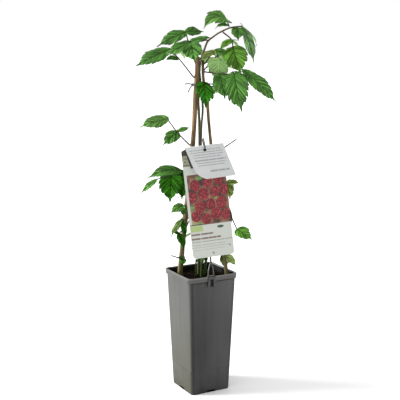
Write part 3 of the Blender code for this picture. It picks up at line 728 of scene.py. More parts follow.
def make_compost_top():
    """The crumbly top, a grid with its corners drawn in to fit the pot."""
    shape = bmesh.new()
    half = (compost_half - 0.3) * MM
    bmesh.ops.create_grid(shape, x_segments=60, y_segments=60, size=half)
    corner = (POT_CORNER + 0.5) * MM
    for vert in shape.verts:
        x, y = abs(vert.co.x) - half + corner, abs(vert.co.y) - half + corner
        if x > 0 and y > 0 and math.hypot(x, y) > corner:
            pull = corner / math.hypot(x, y)
            vert.co.x = math.copysign(half - corner + x * pull, vert.co.x)
            vert.co.y = math.copysign(half - corner + y * pull, vert.co.y)
        vert.co.z = (SOIL_TOP - 1.0) * MM
    top = link("compost_top", from_shape("compost_top", shape))
    values = {"Density": 260000.0, "Crumb size": 0.0011, "Relief": 0.003, "Seed": 4, "Finish": COMPOST}
    grow(top, crumb_tree(), values)
    return dress(top, "soil", "soil")


make_compost_top()

# %% [markdown]
# ## The canes
# Every cane and the arching bough is one tapering limb along a smooth curve through a few named points. A
# Bezier curve would need its handles set by hand. A Catmull-Rom spline passes through each point by itself,
# and a few lines of sums then tell where on it each leaf stands.


# %% Paths and limbs
def smooth_path(points, step):
    """Points about one step apart on a smooth curve through the given points."""
    ends = [points[0] * 2 - points[1], *points, points[-1] * 2 - points[-2]]
    path = [points[0]]
    for before, start, end, after in zip(ends, ends[1:], ends[2:], ends[3:]):
        count = max(1, round((end - start).length / (step * MM)))
        for k in range(1, count + 1):
            t = k / count
            bend = (2 * before - 5 * start + 4 * end - after) * t * t
            swing = (3 * start - before - 3 * end + after) * t * t * t
            path.append(0.5 * (2 * start + (end - before) * t + bend + swing))
    return path


def direction(heading, pitch):
    """The unit vector along a heading, anticlockwise from +X, and a pitch upwards."""
    level = math.cos(math.radians(pitch))
    x = level * math.cos(math.radians(heading))
    y = level * math.sin(math.radians(heading))
    return Vector((x, y, math.sin(math.radians(pitch))))


class Limb:
    """A tapering cane or bough along a smooth path, and where things stand on it."""

    def __init__(self, points, foot_radius, tip_radius, step=30):
        route = [Vector(point) * MM for point in points]
        self.path = smooth_path(route, step)
        self.marks = [0.0]
        for start, end in zip(self.path, self.path[1:]):
            self.marks.append(self.marks[-1] + (end - start).length / MM)
        self.length = self.marks[-1]
        self.foot_radius = foot_radius
        self.tip_radius = tip_radius

    def radius(self, along):
        return self.foot_radius + (self.tip_radius - self.foot_radius) * along / self.length

    def place(self, along):
        """The point on the centre line at a distance from the foot, and the way the limb runs there."""
        along = min(along, self.length)
        for k in range(len(self.path) - 1):
            if along <= self.marks[k + 1] or k == len(self.path) - 2:
                run = self.path[k + 1] - self.path[k]
                share = (along - self.marks[k]) / (self.marks[k + 1] - self.marks[k])
                return self.path[k] + run * share, run.normalized()

    def at_height(self, z):
        """The centre and the radius where the limb passes a height."""
        for k in range(len(self.path) - 1):
            low, high = self.path[k].z, self.path[k + 1].z
            if low <= z * MM <= high:
                share = (z * MM - low) / (high - low)
                spot = self.path[k] + (self.path[k + 1] - self.path[k]) * share
                return spot, self.radius(self.marks[k] + share * (self.marks[k + 1] - self.marks[k]))


FOOT = SOIL_TOP + GAP
LIMBS = {
    "stem_left": Limb(
        [(-31, 23, FOOT), (-23, 16, 314), (-12, 7, 449), (-7.5, 6, 526), (-5, 6, 563), (-3.2, 5.2, 600)],
        4.6,
        3.8,
    ),
    "stem_middle": Limb(
        [(4, 15, FOOT), (3, 9.7, 448), (0.5, 10, 525), (1, 8.6, 555), (3, 8, 592)],
        3.0,
        2.1,
    ),
    "stem_right": Limb(
        [(37, -31, FOOT), (24.5, 7, 447), (16.7, 6.8, 525)]
        + [(12.5, 6.6, 545), (9.3, 7.6, 563), (8.5, 8.3, 594)],
        3.3,
        2.5,
    ),
    "stem_back": Limb(
        [(9, 22, FOOT), (8, 14.5, 450), (10.6, 13.6, 495), (11, 13.3, 516), (7.5, 14.1, 554), (6, 16, 575)],
        2.8,
        1.8,
    ),
    "bough_top": Limb(
        [(3, 8, 592 + GAP), (9, 4.2, 611), (14, 0.8, 625.5), (22, -3.6, 633)]
        + [(31.5, -8, 640), (46, -18, 648), (61, -29, 651)],
        1.9,
        1.1,
    ),
}
LIMB_FINISH = {
    "stem_left": ("bark", "bark"),
    "stem_middle": ("green_bark", "green_bark"),
    "stem_right": ("bark", "bark"),
    "stem_back": ("green_bark", "green_bark"),
    "bough_top": ("bough_bark", "bark"),
}
for name, limb in LIMBS.items():
    print(name, "is", round(limb.length), "mm long")

# %% [markdown]
# A curve with a bevel would be a plain smooth tube. A Geometry Nodes tree turns a limb's line into bark
# instead: the line is resampled, a circle is swept along it with the limb's taper, and noise pushes the skin
# in and out along its normals. Short hairs, which this plant has all over its young wood, are cones dealt
# over the same skin.


# %% Bark tree
def bark_tree():
    inputs = [("Sides", "NodeSocketInt"), ("Ring spacing", "NodeSocketFloat"), ("Relief", "NodeSocketFloat")]
    inputs += [("Hairs", "NodeSocketFloat"), ("Finish", "NodeSocketMaterial")]
    tree, given, end = node_tree("bark", inputs)
    sockets = {"Curve": given["Geometry"], "Length": given["Ring spacing"]}
    line = add(tree, "GeometryNodeResampleCurve", sockets, mode="LENGTH").outputs[0]
    sockets = {"Resolution": given["Sides"], "Radius": 1.0}
    ring = add(tree, "GeometryNodeCurvePrimitiveCircle", sockets).outputs[0]
    thick = add(tree, "GeometryNodeInputRadius").outputs[0]
    sockets = {"Curve": line, "Profile Curve": ring, "Scale": thick, "Fill Caps": True}
    skin = add(tree, "GeometryNodeCurveToMesh", sockets).outputs[0]
    place = add(tree, "GeometryNodeInputPosition").outputs[0]
    along = add(tree, "ShaderNodeVectorMath", {0: place, 1: (900, 900, 90)}, operation="MULTIPLY").outputs[0]
    rough = add(tree, "ShaderNodeTexNoise", {"Vector": along, "Scale": 1.0, "Detail": 3.0}).outputs[0]
    push = maths(tree, "MULTIPLY", maths(tree, "SUBTRACT", rough, 0.5), given["Relief"])
    normal = add(tree, "GeometryNodeInputNormal").outputs[0]
    offset = add(tree, "ShaderNodeVectorMath", {0: normal, "Scale": push}, operation="SCALE").outputs[0]
    bark = add(tree, "GeometryNodeSetPosition", {"Geometry": skin, "Offset": offset}).outputs[0]
    soft = add(tree, "GeometryNodeSetShadeSmooth", {"Geometry": bark}).outputs[0]
    sockets = {"Mesh": bark, "Density": given["Hairs"], "Seed": 5}
    roots = add(tree, "GeometryNodeDistributePointsOnFaces", sockets).outputs
    sockets = {"Vertices": 3, "Radius Top": 0.0, "Radius Bottom": 0.00013, "Depth": 0.0014}
    hair = add(tree, "GeometryNodeMeshCone", sockets).outputs["Mesh"]
    size = add(tree, "FunctionNodeRandomValue", {2: 0.4, 3: 1.3}, data_type="FLOAT").outputs[1]
    sockets = {"Points": roots["Points"], "Instance": hair, "Rotation": roots["Rotation"], "Scale": size}
    hairs = add(tree, "GeometryNodeInstanceOnPoints", sockets).outputs[0]
    return finish_tree(tree, joined(tree, soft, hairs), given, end)


BARK_TREE = bark_tree()
HAIRS = 250000.0


def line_object(name, path, radii, closed=False):
    """A poly line through the points, with its radius in metres at each."""
    curve = bpy.data.curves.new(name, "CURVE")
    curve.dimensions = "3D"
    line = curve.splines.new("POLY")
    line.points.add(len(path) - 1)
    line.use_cyclic_u = closed
    for knot, place, radius in zip(line.points, path, radii):
        knot.co = (*place, 1)
        knot.radius = radius * MM
    made = bpy.data.objects.new(name, curve)
    bpy.context.scene.collection.objects.link(made)
    return made


def swept(name, path, radii, bark, sides=14, spacing=0.002, relief=0.0003, hairs=HAIRS):
    """A piece of bark along a path."""
    line = line_object(name + "_line", path, radii)
    values = {"Sides": sides, "Ring spacing": spacing, "Relief": relief, "Hairs": hairs, "Finish": bark}
    made = grow(line, BARK_TREE, values)
    made.name = name
    return made


# %% Canes and bough
NODE_SWELLING = 0.21
NODE_REACH = 4.0
SKIN_SHARE = 1.02
WAVER_SHARE = 0.05
WAVER_LENGTH = 17


def leaf_marks(limb_name):
    """How far up a limb its leaves stand."""
    near = [leaf[1] for leaf in LEAVES.values() if leaf[0] == limb_name]
    return near + [along for name, along, heading in FAR_LEAVES if name == limb_name]


def limb_radii(limb, marks, path):
    """The limb's taper, a little uneven, with a slight swelling where each leaf stands."""
    radii, run = [], 0.0
    for k, spot in enumerate(path):
        run += (spot - path[k - 1]).length / MM if k else 0
        swell = sum(math.exp(-(((run - mark) / NODE_REACH) ** 2)) for mark in marks)
        waver = SKIN_SHARE + WAVER_SHARE * math.cos(run / WAVER_LENGTH)
        radii.append(limb.radius(min(run, limb.length)) * waver + NODE_SWELLING * min(1, swell))
    return radii


def make_limb(name):
    limb = LIMBS[name]
    bark, slot = LIMB_FINISH[name]
    path = smooth_path(limb.path, 3)
    piece = swept(name + "_bark", path, limb_radii(limb, leaf_marks(name), path), BARKS[bark])
    return dress(piece, slot, name)


# %% [markdown]
# ## The leaves
# A wineberry leaf has one, three or five leaflets on a common stalk. The leaves that face the camera could
# be strewn by a rule too, but the photograph shows how each one lies, so each has a row: the limb and how
# far up it the leaf stands, the runs of its stalk as heading, pitch and length, its leaflets, and its tint.
# A leaflet is the joint that it stands on, then its heading, pitch, length, width, roll and arch, and a
# tint of its own where it has one. Sizes are millimetres and degrees.

# %% Leaves that face the camera
LEAVES = {
    "foliage_top_left": (
        "stem_left", 357, [(171, 50, 42), (171, 39, 22)],
        [(1, 176, -4, 26, 15, 30, 20), (2, 167, -24, 66, 29, 45, 8)], "mid",
    ),
    "foliage_top_upper": (
        "bough_top", 36, [(162, -9, 29), (165, 66, 18.5)],
        [(1, 1, 11, 45, 18, -25, 20, "soft"), (1, -170, -24, 54, 24, 30, 20, "soft"),
         (1, -105, -43, 51, 32, -12, 20, "soft"), (2, 4, 2, 36, 20, -45, 25),
         (2, 171, -25, 57, 25, 45, 25)], "mid",
    ),
    "foliage_tip_high": (
        "bough_top", 80, [(175, 70, 12)],
        [(0, 176, -4, 27, 12, 30, 110, "mid"), (1, 176, -16, 47, 36, 35, 130)], "grass",
    ),
    "foliage_tip_front": (
        "bough_top", 90, [(-51, 0, 4.8)],
        [(1, -120, -48, 29, 22, 0, 15)], "mid",
    ),
    "foliage_tip_hanging": (
        "bough_top", 200, [(-69, -33, 7.4)],
        [(1, -63, -71, 63, 17, -40, 45), (1, 14, -42, 44, 9, -20, 40), (1, 150, 56, 12, 5, 0, 30)], "grey",
    ),
    "foliage_under_bough": (
        "bough_top", 67, [(-63, -36, 21.5), (-97, -66, 16)],
        [(1, 173, -36, 28, 15, 30, 20), (1, -78, -4, 14, 8, 0, 10), (1, 1, -46, 21, 11, 0, 20),
         (2, -87, -60, 49, 40, -30, 20)], "bright",
    ),
    "foliage_stem_top": (
        "stem_right", 383, [(-73, 42, 32), (-35, -62, 14)],
        [(1, 168, -30, 31, 20, 25, 20), (1, -20, -8, 27, 16, -45, 10, "soft"),
         (2, 60, -66, 45, 38, 0, 20)], "lime",
    ),
    "foliage_right_large": (
        "stem_right", 369, [(-67, -5, 32), (-52, 2, 27), (-1, 12, 19)],
        [(1, -80, -71, 46, 31, -30, 15, "soft"), (2, -84, -71, 68, 40, -50, 20),
         (3, -35, -43, 80, 28, -50, 20, "soft")], "mid",
    ),
    "foliage_tie_front": (
        "stem_right", 342, [(-73, 10, 27), (177, 8, 28)],
        [(2, -100, -77, 42, 43, 30, 15, "vivid"), (2, 176, -58, 25, 17, 25, 10)], "deep",
    ),
    "foliage_left_middle": (
        "stem_left", 239, [(166, 46, 31), (170, 53, 30)],
        [(1, -172, -33, 37, 24, 40, 20, "mid"), (1, 14, 13, 32, 16, -10, 25),
         (2, 168, -14, 52, 26, 45, 15, "pale")], "grass",
    ),
    "foliage_left_low": (
        "stem_left", 189, [(180, 20, 12), (171, -17, 18), (164, -15, 28)],
        [(1, 166, -10, 63, 23, 42, 74, "mid"), (1, -113, -76, 51, 27, 0, 10), (2, -130, -68, 50, 42, 0, 15),
         (3, 167, -39, 38, 14, 30, 10, "soft")], "deep",
    ),
    "foliage_left_small": (
        "stem_left", 130, [(-155, 12, 4)],
        [(1, 177, -23, 27, 20, 35, 20), (1, -111, -70, 20, 12, 0, 10)], "grass",
    ),
    "foliage_left_narrow": (
        "stem_left", 105, [(-153, 5, 5)],
        [(1, -176, -52, 37, 15, 10, 10, "olive"), (1, -75, -73, 34, 13, 0, 10, "deep")], "mid",
    ),
    "foliage_left_folded": (
        "stem_left", 84, [(-158, -20, 10)],
        [(1, -71, -60, 31, 18, 0, 10), (1, 140, 25, 11, 8, 30, 10)], "deep",
    ),
    "foliage_foot_left": (
        "stem_left", 42, [(-104, -40, 11), (-166, 20, 32)],
        [(1, -179, 15, 13, 10, 40, 10), (1, -131, -51, 13, 10, 0, 10)], "deep",
    ),
    "foliage_right_small": (
        "stem_right", 165, [(-22, 21, 15)],
        [(1, -47, 3, 25, 16, -35, 15), (1, -89, -64, 31, 24, 0, 10)], "lime",
    ),
    "foliage_right_side": (
        "stem_right", 135, [(-23, -33, 18), (-78, -65, 19), (-71, -58, 23)],
        [(1, -102, -76, 35, 9, 0, 10, "mid"), (3, -56, -28, 34, 27, -30, 20, "fresh")], "bright",
    ),
    "foliage_foot_right": (
        "stem_right", 42, [(64, -16, 11)],
        # The second leaflet takes the lighter tint, painted light for a leaflet in shade.
        [(1, -91, -80, 26, 18, 0, 10), (1, -32, -41, 32, 22, -30, 10, "sunny")], "lime",
    ),
    "stalk_bare": (
        "stem_right", 221, [(-29, 38, 22), (-40, 35, 26)],
        [], "mid",
    ),
}

# %% [markdown]
# No photograph shows the leaves on the far side, so they follow one seeded rule: a rising stalk, two side
# leaflets and one at the end. The shoots at the foot of the clump follow another. A fixed seed makes the
# same leaves each time.
# %% Far leaves and shoots by rule
FAR_LEAVES = (
    ("stem_back", 52, 60),
    ("stem_left", 85, 42),
    ("stem_back", 118, 72),
    ("stem_right", 150, 97),
    ("stem_left", 172, 50),
    ("stem_back", 192, 55),
    ("stem_back", 315, 15),
    ("stem_left", 378, 74),
    ("stem_right", 372, 34),
)
FAR_STALK = 42
FAR_LEAFLET = 56
SIDE_SHARE = 0.7
WIDTH_SHARES = (0.56, 0.52)
SHOOTS = ((-5, 8, 32), (-1, -3, 36), (9, 3, 42), (17, 13, 34))
FAR_TINTS = ("mid", "grass", "deep")


def far_leaf_rows():
    """The rows of the far leaves, from the seeded rule."""
    dice = random.Random(7)
    rows = {}
    for number, (limb_name, along, heading) in enumerate(FAR_LEAVES, 1):
        size = dice.uniform(0.85, 1.1)
        pitch = dice.uniform(22, 38)
        stalk = FAR_STALK * size
        runs = [(heading, pitch, stalk), (heading, pitch - 14, stalk * 0.45)]
        end_leaf = FAR_LEAFLET * size
        side_leaf = end_leaf * SIDE_SHARE
        leaflets = [(2, heading, -24, end_leaf, end_leaf * WIDTH_SHARES[0], 0, 35)]
        for side in (-1, 1):
            turn = heading + side * dice.uniform(62, 74)
            droop = dice.uniform(-30, -14)
            leaflets.append((1, turn, droop, side_leaf, side_leaf * WIDTH_SHARES[1], -side * 14, 28))
        tint = FAR_TINTS[number % len(FAR_TINTS)]
        rows[f"foliage_far_{number}"] = (limb_name, along, runs, leaflets, tint)
    return rows


def shoot_rows():
    """Each shoot's name, foot, runs and leaflets, from the seeded rule."""
    dice = random.Random(5)
    rows = []
    for number, (x, y, height) in enumerate(SHOOTS, 1):
        heading = dice.uniform(0, 360)
        runs = [(heading, 84, height * 0.65), (heading + 30, 76, height * 0.35)]
        leaflets = [(1, heading + 120, 58, 19, 8, 0, 25), (2, heading - 60, 66, 22, 9, 0, 20)]
        rows.append((f"shoot_{number}", Vector((x, y, FOOT)) * MM, runs, leaflets))
    return rows


for limb_name in LIMBS:
    make_limb(limb_name)

# %% [markdown]
# ## One leaflet
# A flat card with a leaf's picture on it would have no thickness and no curl. So the blade is a grid bent
# three ways: a shallow V across, an arc along, and a swelling between each two side veins. Its rows fall on
# the lobes of the margin, eight rows a lobe, so each lobe has a slow rise, small teeth and a quick return,
# and the rows lean towards the tip as the side veins do. A second layer below it gives the blade its
# thickness.

# %% Shape of a leaflet
LEAF_FOLD = 14
LOBE_SPACING = 9
LOBE_ROWS = (0.0, 0.12, 0.27, 0.38, 0.5, 0.57, 0.76, 0.82)
LOBE_RISE = (1.0, 0.7, 0.0, 0.5, 0.8, 0.6, 0.95, 0.78)
LOBE_MEAN = 0.45
DRIP_WIDTH = 0.24
VEIN_LEAN = 0.72
PUFF = 0.2
DROOP = 0.16
WAVES = ((0.04, 1.7, 2), (0.02, 3.1, 1))
GROOVE_DEPTH = 0.35
COLUMNS = 21
BLADE_THICK = 0.35
MIDRIB_THICK = 0.3


def outline_share(t, foot, point=0.85, body=0.86):
    """Half the width at a share of the length: a broad blade that ends in a drawn-out drip tip."""
    u = np.clip(t / body, 0, 1)
    peak = foot / (foot + point)
    blade = (u / peak) ** foot * ((1 - u) / (1 - peak)) ** point
    drip = DRIP_WIDTH * np.clip((1 - t) / 0.3, 0, 1) ** 0.85 * np.clip(t / 0.4, 0, 1)
    return np.hypot(blade, drip)


def lobe_rows(length, dice):
    """The rows' shares of the length, the count of lobes and the margin's rise at each row."""
    lobes = max(4, round(length / LOBE_SPACING))
    t = ((np.arange(lobes)[:, None] + np.array(LOBE_ROWS)) / lobes).ravel()
    size = np.array([dice.uniform(0.7, 1.25) for k in range(lobes + 1)])
    apex = [np.roll(size, -1)[:-1] if low > 0.2 else size[:-1] for low in LOBE_ROWS]
    rise = ((np.array(LOBE_RISE) - LOBE_MEAN) * np.stack(apex, 1)).ravel()
    t, rise = np.append(t, 1.0), np.append(rise, 0.0)
    return t, lobes, rise * np.clip(t / 0.06, 0, 1) * np.clip((0.86 - t) / 0.22, 0, 1)


def blade_lift(S, T, reach, half, width, vein_gap, phase, dice):
    """How far the blade stands off a flat one: its fold, droop, swellings, waves and sunken midrib."""
    inside = np.clip(np.abs(reach) / 1.5, 0, 1) * (1 - 0.7 * np.abs(S) ** 4) * np.clip(half / 5, 0, 1)
    puff = np.abs(np.sin(math.pi * phase)) ** 0.7 * vein_gap * PUFF * inside
    wave = sum(
        size * width * np.sin(2 * math.pi * (count * T + dice.uniform(0, 1))) * S**power
        for size, count, power in WAVES
    )
    fold = math.tan(math.radians(LEAF_FOLD)) * (np.sqrt(reach**2 + 0.8) - 0.9)
    groove = GROOVE_DEPTH * np.exp(-((reach / 0.7) ** 2))
    return fold - DROOP * reach**2 / (width / 2) + puff + wave - groove


def blade_points(length, width, arch, dice):
    """The blade's grid in its own axes: run, reach and rise in millimetres, and its three UV maps.

    S is the share of the way from the midrib to an edge and T the share of the way to the tip.
    """
    t, lobes, rise = lobe_rows(length, dice)
    S, T = np.meshgrid(np.linspace(-1, 1, COLUMNS), t)
    share = outline_share(t, np.clip(1.05 - 0.8 * width / length, 0.42, 0.85))
    half = np.maximum(width / 2 * share, 0.35)[:, None]
    depth = np.clip(0.11 * (width - 14), 0.6, 3.4) * rise[:, None] / np.maximum(half, 1.5)
    reach = S * (1 + np.abs(S) ** 7 * depth)
    forward = T * VEIN_LEAN * share[:, None] * np.clip(2 * width / length, 0.5, 1.15)
    lobe = 0.07 * np.abs(S) ** 1.6 * (1 - T) ** 7
    station = T - forward * (1 - np.abs(reach) ** 1.1) - lobe
    reach = reach * half
    phase = 2 * lobes * T
    lift = blade_lift(S, T, reach, half, width, length / (2 * lobes), phase, dice)
    turn = math.radians(max(arch, 2))
    bend = length / (2 * math.sin(turn / 2))
    angle = turn * (station - 0.5)
    run = bend * (math.sin(turn / 2) + np.sin(angle)) + lift * np.sin(angle)
    height = bend * (np.cos(angle) - math.cos(turn / 2)) + lift * np.cos(angle)
    vein_map = np.stack([phase + dice.randrange(50), reach / 10], -1)
    flat = np.stack([reach / 100, station * length / 100], -1)
    return np.stack([run, reach, height], -1), vein_map, flat, np.stack([np.abs(S), T], -1)


def blade_axes(heading, pitch, roll):
    """The blade's own axes: along it, to its left and out of its upper face."""
    along = direction(heading, pitch)
    up = direction(heading, pitch + 90)
    left = up.cross(along)
    swing = math.radians(roll)
    face = up * math.cos(swing) + left * math.sin(swing)
    side = left * math.cos(swing) - up * math.sin(swing)
    return np.array([along, side, face])


def grid_normals(points):
    """Unit normals of a grid of points, on the side of its upper face."""
    rows = np.gradient(points, axis=0)
    columns = np.gradient(points, axis=1)
    normals = np.cross(rows, columns)
    return normals / np.maximum(np.linalg.norm(normals, axis=-1, keepdims=True), 1e-12)


# %% Mesh of a leaf's blades
def shell_faces(rows, columns):
    """The faces of a two-layer grid, upper then lower then rim, with a 0 or 1 for the layer's finish."""
    index = np.arange(rows * columns).reshape(rows, columns)
    a, b, c, d = index[:-1, :-1], index[:-1, 1:], index[1:, 1:], index[1:, :-1]
    upper = np.stack([a, d, c, b], -1).reshape(-1, 4)
    lower = np.stack([a, b, c, d], -1).reshape(-1, 4) + rows * columns
    loop = np.concatenate([index[0, :-1], index[:-1, -1], index[-1, :0:-1], index[:0:-1, 0]])
    after = np.roll(loop, -1)
    rim = np.stack([loop, after, after + rows * columns, loop + rows * columns], -1)
    faces = np.concatenate([upper, lower, rim])
    layer = np.concatenate([np.zeros(len(upper)), np.ones(len(lower)), np.zeros(len(rim))])
    return faces, layer.astype(np.int32)


def blade_mesh(name, leaflets, *finishes):
    """One mesh of all the leaflets of a leaf, each given as its foot and its shape."""
    dice = random.Random(name)
    points, faces, layers, maps, first = [], [], [], [[], [], []], 0
    for foot, heading, pitch, length, width, roll, arch in leaflets:
        local, *places = blade_points(length, width, arch, dice)
        grid = local @ blade_axes(heading, pitch, roll) * MM + np.array(foot)
        normals = grid_normals(grid)
        rib = MIDRIB_THICK * np.exp(-((local[..., 1:2] / 0.8) ** 2))
        upper = grid + normals * BLADE_THICK / 2 * MM
        lower = grid - normals * (BLADE_THICK / 2 + rib) * MM
        shell, layer = shell_faces(*grid.shape[:2])
        points += [upper.reshape(-1, 3), lower.reshape(-1, 3)]
        faces.append(shell + first)
        layers.append(layer)
        for kept, made in zip(maps, places):
            kept += [made.reshape(-1, 2)] * 2
        first += 2 * upper.shape[0] * upper.shape[1]
    mesh = bpy.data.meshes.new(name)
    mesh.from_pydata(np.concatenate(points), [], np.concatenate(faces))
    corners = np.concatenate(faces).ravel()
    for title, kept in zip(("veins", "blade", "margin"), maps):
        uv_map = mesh.uv_layers.new(name=title)
        uv_map.uv.foreach_set("vector", np.concatenate(kept)[corners].ravel().astype(np.float32))
    for item in finishes:
        mesh.materials.append(item)
    mesh.polygons.foreach_set("material_index", np.concatenate(layers))
    mesh.polygons.foreach_set("use_smooth", [True] * len(mesh.polygons))
    mesh.validate()
    return mesh


# %% A whole leaf
STALK_RADIUS = 1.3
STALK_END_RADIUS = 0.95
SHOOT_RADIUS = 2.2


def stalk_start(limb, along, heading):
    """Where a leaf stalk leaves its limb, and the way it first runs."""
    spot, run = limb.place(along)
    if along >= limb.length:
        return spot + run * GAP * MM, run
    out = direction(heading, 0)
    out = (out - run * out.dot(run)).normalized()
    return spot + out * (limb.radius(along) + GAP) * MM, out


def make_leaf(name, start, out, runs, leaflets, tint, bark, radius=STALK_RADIUS):
    """A leaf's stalk as one piece, and its blades as one piece for each tint."""
    joints = [start + out * 1.6 * MM]
    for heading, pitch, length in runs:
        joints.append(joints[-1] + direction(heading, pitch) * length * MM)
    path = [start] + smooth_path(joints, 2)
    count = len(path) - 1
    radii = [radius + (STALK_END_RADIUS - radius) * k / count for k in range(count + 1)]
    stalk = swept(name + "_stalk", path, radii, bark, sides=8, spacing=0.0015, relief=0.0002)
    dress(stalk, "leaf", name)
    kinds = {}
    for joint, *shape in leaflets:
        kind = shape.pop() if isinstance(shape[-1], str) else tint
        kinds.setdefault(kind, []).append((joints[joint], *shape))
    for kind, shapes in kinds.items():
        title = f"{name}_{kind}_blades"
        dress(link(title, blade_mesh(title, shapes, BLADES[kind], UNDERSIDE)), "leaf", name)


for name, (limb_name, along, runs, leaflets, tint) in {**LEAVES, **far_leaf_rows()}.items():
    start, out = stalk_start(LIMBS[limb_name], along, runs[0][0])
    make_leaf(name, start, out, runs, leaflets, tint, BARKS["stalk"])
for name, foot, runs, leaflets in shoot_rows():
    upright = Vector((0, 0, 1))
    make_leaf(name, foot, upright, runs, leaflets, "grass", BARKS["shoot_bark"], SHOOT_RADIUS)

# %% [markdown]
# ## The tie
# A thin blue-grey string of two twisted strands goes once round all the canes and is knotted on the left,
# with two loose ends. Two helices could be worked out point by point. It is less work to let Geometry Nodes
# sweep a pair of small circles along the string's line and turn them as they go.

# %% Twisted string by Geometry Nodes
TIE_HEIGHT = 552
TIE_RADIUS = 1.3
KNOT_RADIUS = 2.3
KNOT_HEADING = 165
LOOSE_ENDS = ((150, 4, 14), (157, -58, 16))
STRAND_SHARE = 0.6
TURNS_PER_METRE = 420.0


def string_finish():
    made, tree, shader = finish("tie_string", 0.85, 0.2)
    fibre = noise(tree, object_place(tree), 900, 3)
    colour = blend(tree, spread(tree, fibre, 0.3, 0.7), (0.035, 0.055, 0.055), (0.13, 0.17, 0.17))
    coat(tree, shader, colour, fibre, 0.0002)
    return made


TIE_STRING = string_finish()


def string_tree():
    inputs = [("Strand radius", "NodeSocketFloat"), ("Turns per metre", "NodeSocketFloat")]
    inputs += [("Finish", "NodeSocketMaterial")]
    tree, given, end = node_tree("twisted_string", inputs)
    length = add(tree, "GeometryNodeSplineParameter").outputs["Length"]
    tilt = maths(tree, "MULTIPLY", maths(tree, "MULTIPLY", length, given["Turns per metre"]), math.tau)
    sockets = {"Curve": given["Geometry"], "Length": 0.0003}
    line = add(tree, "GeometryNodeResampleCurve", sockets, mode="LENGTH").outputs[0]
    turned = add(tree, "GeometryNodeSetCurveTilt", {"Curve": line, "Tilt": tilt}).outputs[0]
    sockets = {"Resolution": 8, "Radius": given["Strand radius"]}
    circle = add(tree, "GeometryNodeCurvePrimitiveCircle", sockets).outputs[0]
    strands = []
    for side in (-0.65, 0.65):
        away = maths(tree, "MULTIPLY", given["Strand radius"], side)
        shift = add(tree, "ShaderNodeCombineXYZ", {"X": away}).outputs[0]
        sockets = {"Geometry": circle, "Translation": shift}
        strands.append(add(tree, "GeometryNodeTransform", sockets).outputs[0])
    sockets = {"Curve": turned, "Profile Curve": joined(tree, *strands), "Fill Caps": True}
    skin = add(tree, "GeometryNodeCurveToMesh", sockets).outputs[0]
    soft = add(tree, "GeometryNodeSetShadeSmooth", {"Geometry": skin}).outputs[0]
    return finish_tree(tree, soft, given, end)


# %% Tie round the canes
def hull_path(circles, count):
    """Points evenly round the outside of a group of circles, as a string pulled round them lies."""
    path = []
    for k in range(count):
        out = Vector((math.cos(math.tau * k / count), math.sin(math.tau * k / count)))
        middle, radius = max(circles, key=lambda one: one[0].dot(out) + one[1])
        path.append(middle + out * radius)
    return path


def knot_loop(knot, out):
    """A small closed tangle about the knot's middle."""
    across = Vector((-out.y, out.x, 0))
    points = []
    for k in range(60):
        a = math.tau * k / 60
        sideways = across * KNOT_RADIUS * 0.6 * MM * math.sin(2 * a)
        outwards = out * KNOT_RADIUS * 0.45 * MM * math.cos(3 * a)
        upwards = Vector((0, 0, KNOT_RADIUS * 0.6 * MM * math.sin(a) * 1.2))
        points.append(knot + sideways + outwards + upwards)
    return points


def make_tie():
    circles = []
    for name in ("stem_left", "stem_middle", "stem_right", "stem_back"):
        spot, radius = LIMBS[name].at_height(TIE_HEIGHT)
        circles.append((spot.xy, (radius + GAP + TIE_RADIUS) * MM))
    ring = [Vector((*spot, TIE_HEIGHT * MM)) for spot in hull_path(circles, 96)]
    out = direction(KNOT_HEADING, 0)
    knot = max(ring, key=lambda spot: spot.dot(out)) + out * 0.8 * MM
    lines = [(ring, True), (knot_loop(knot, out), True)]
    for heading, pitch, length in LOOSE_ENDS:
        tip = knot + direction(heading, pitch) * length * MM
        sag = (knot + tip) / 2 + Vector((0, 0, 1.5 * MM))
        lines.append((smooth_path([knot, sag, tip], 1), False))
    tree = string_tree()
    values = {"Strand radius": TIE_RADIUS * STRAND_SHARE * MM, "Turns per metre": TURNS_PER_METRE}
    values["Finish"] = TIE_STRING
    parts = [
        grow(line_object(f"string_{k}", line, [1] * len(line), closed), tree, values)
        for k, (line, closed) in enumerate(lines)
    ]
    return dress(join("tie_twist", parts), "tie_string", "tie")


make_tie()

# %% [markdown]
# ## The label
# One thin printed sheet hangs behind its own folded flap: the panel stands up, turns over a small radius
# and comes down in front, cut on a curve at the left. It could be two planes with a bend between them, but
# the fold then shows a crease that real card hasn't. So the sheet is a grid along its own length, and
# `label_row` says where each row of it runs. U of its UV map is the distance across in decimetres and V the
# distance along, so the print needs no picture.

# %% Sizes of the label in millimetres
LABEL_WIDTH = 74
LABEL_HEIGHT = 192
LABEL_THICK = 0.6
LABEL_FOOT = (0, -48.8, 256.2)
LABEL_HEADING = -19
LABEL_LEAN = 4.3
LABEL_TURN = 5.7
LABEL_CORNER = 6
LABEL_BOW = 1.2
FOLD_RADIUS = 3.5
FOLD_LENGTH = math.pi * FOLD_RADIUS
FLAP_LENGTH = 53.5
FLAP_STAND_OFF = 8
FLAP_LEFT = -30
FLAP_SKEW = 15
FLAP_CUT = 14
FLAP_CORNER = 3
FLAP_CORNER_START = 0.94
FLAP_WAVE = 0.5
HANG_HOLE = (3, 188)
HANG_HOLE_RADIUS = 2.75
PEG_HOLE = (0, 6.5)
PEG_HOLE_RADIUS = 1.6


# %% Print of the label
def sheet_place(tree):
    """The print's own coordinates in millimetres: across and along the sheet."""
    place = add(tree, "ShaderNodeUVMap", uv_map="sheet").outputs[0]
    parts = add(tree, "ShaderNodeSeparateXYZ", {0: place})
    return maths(tree, "MULTIPLY", parts.outputs["X"], 100), maths(tree, "MULTIPLY", parts.outputs["Y"], 100)


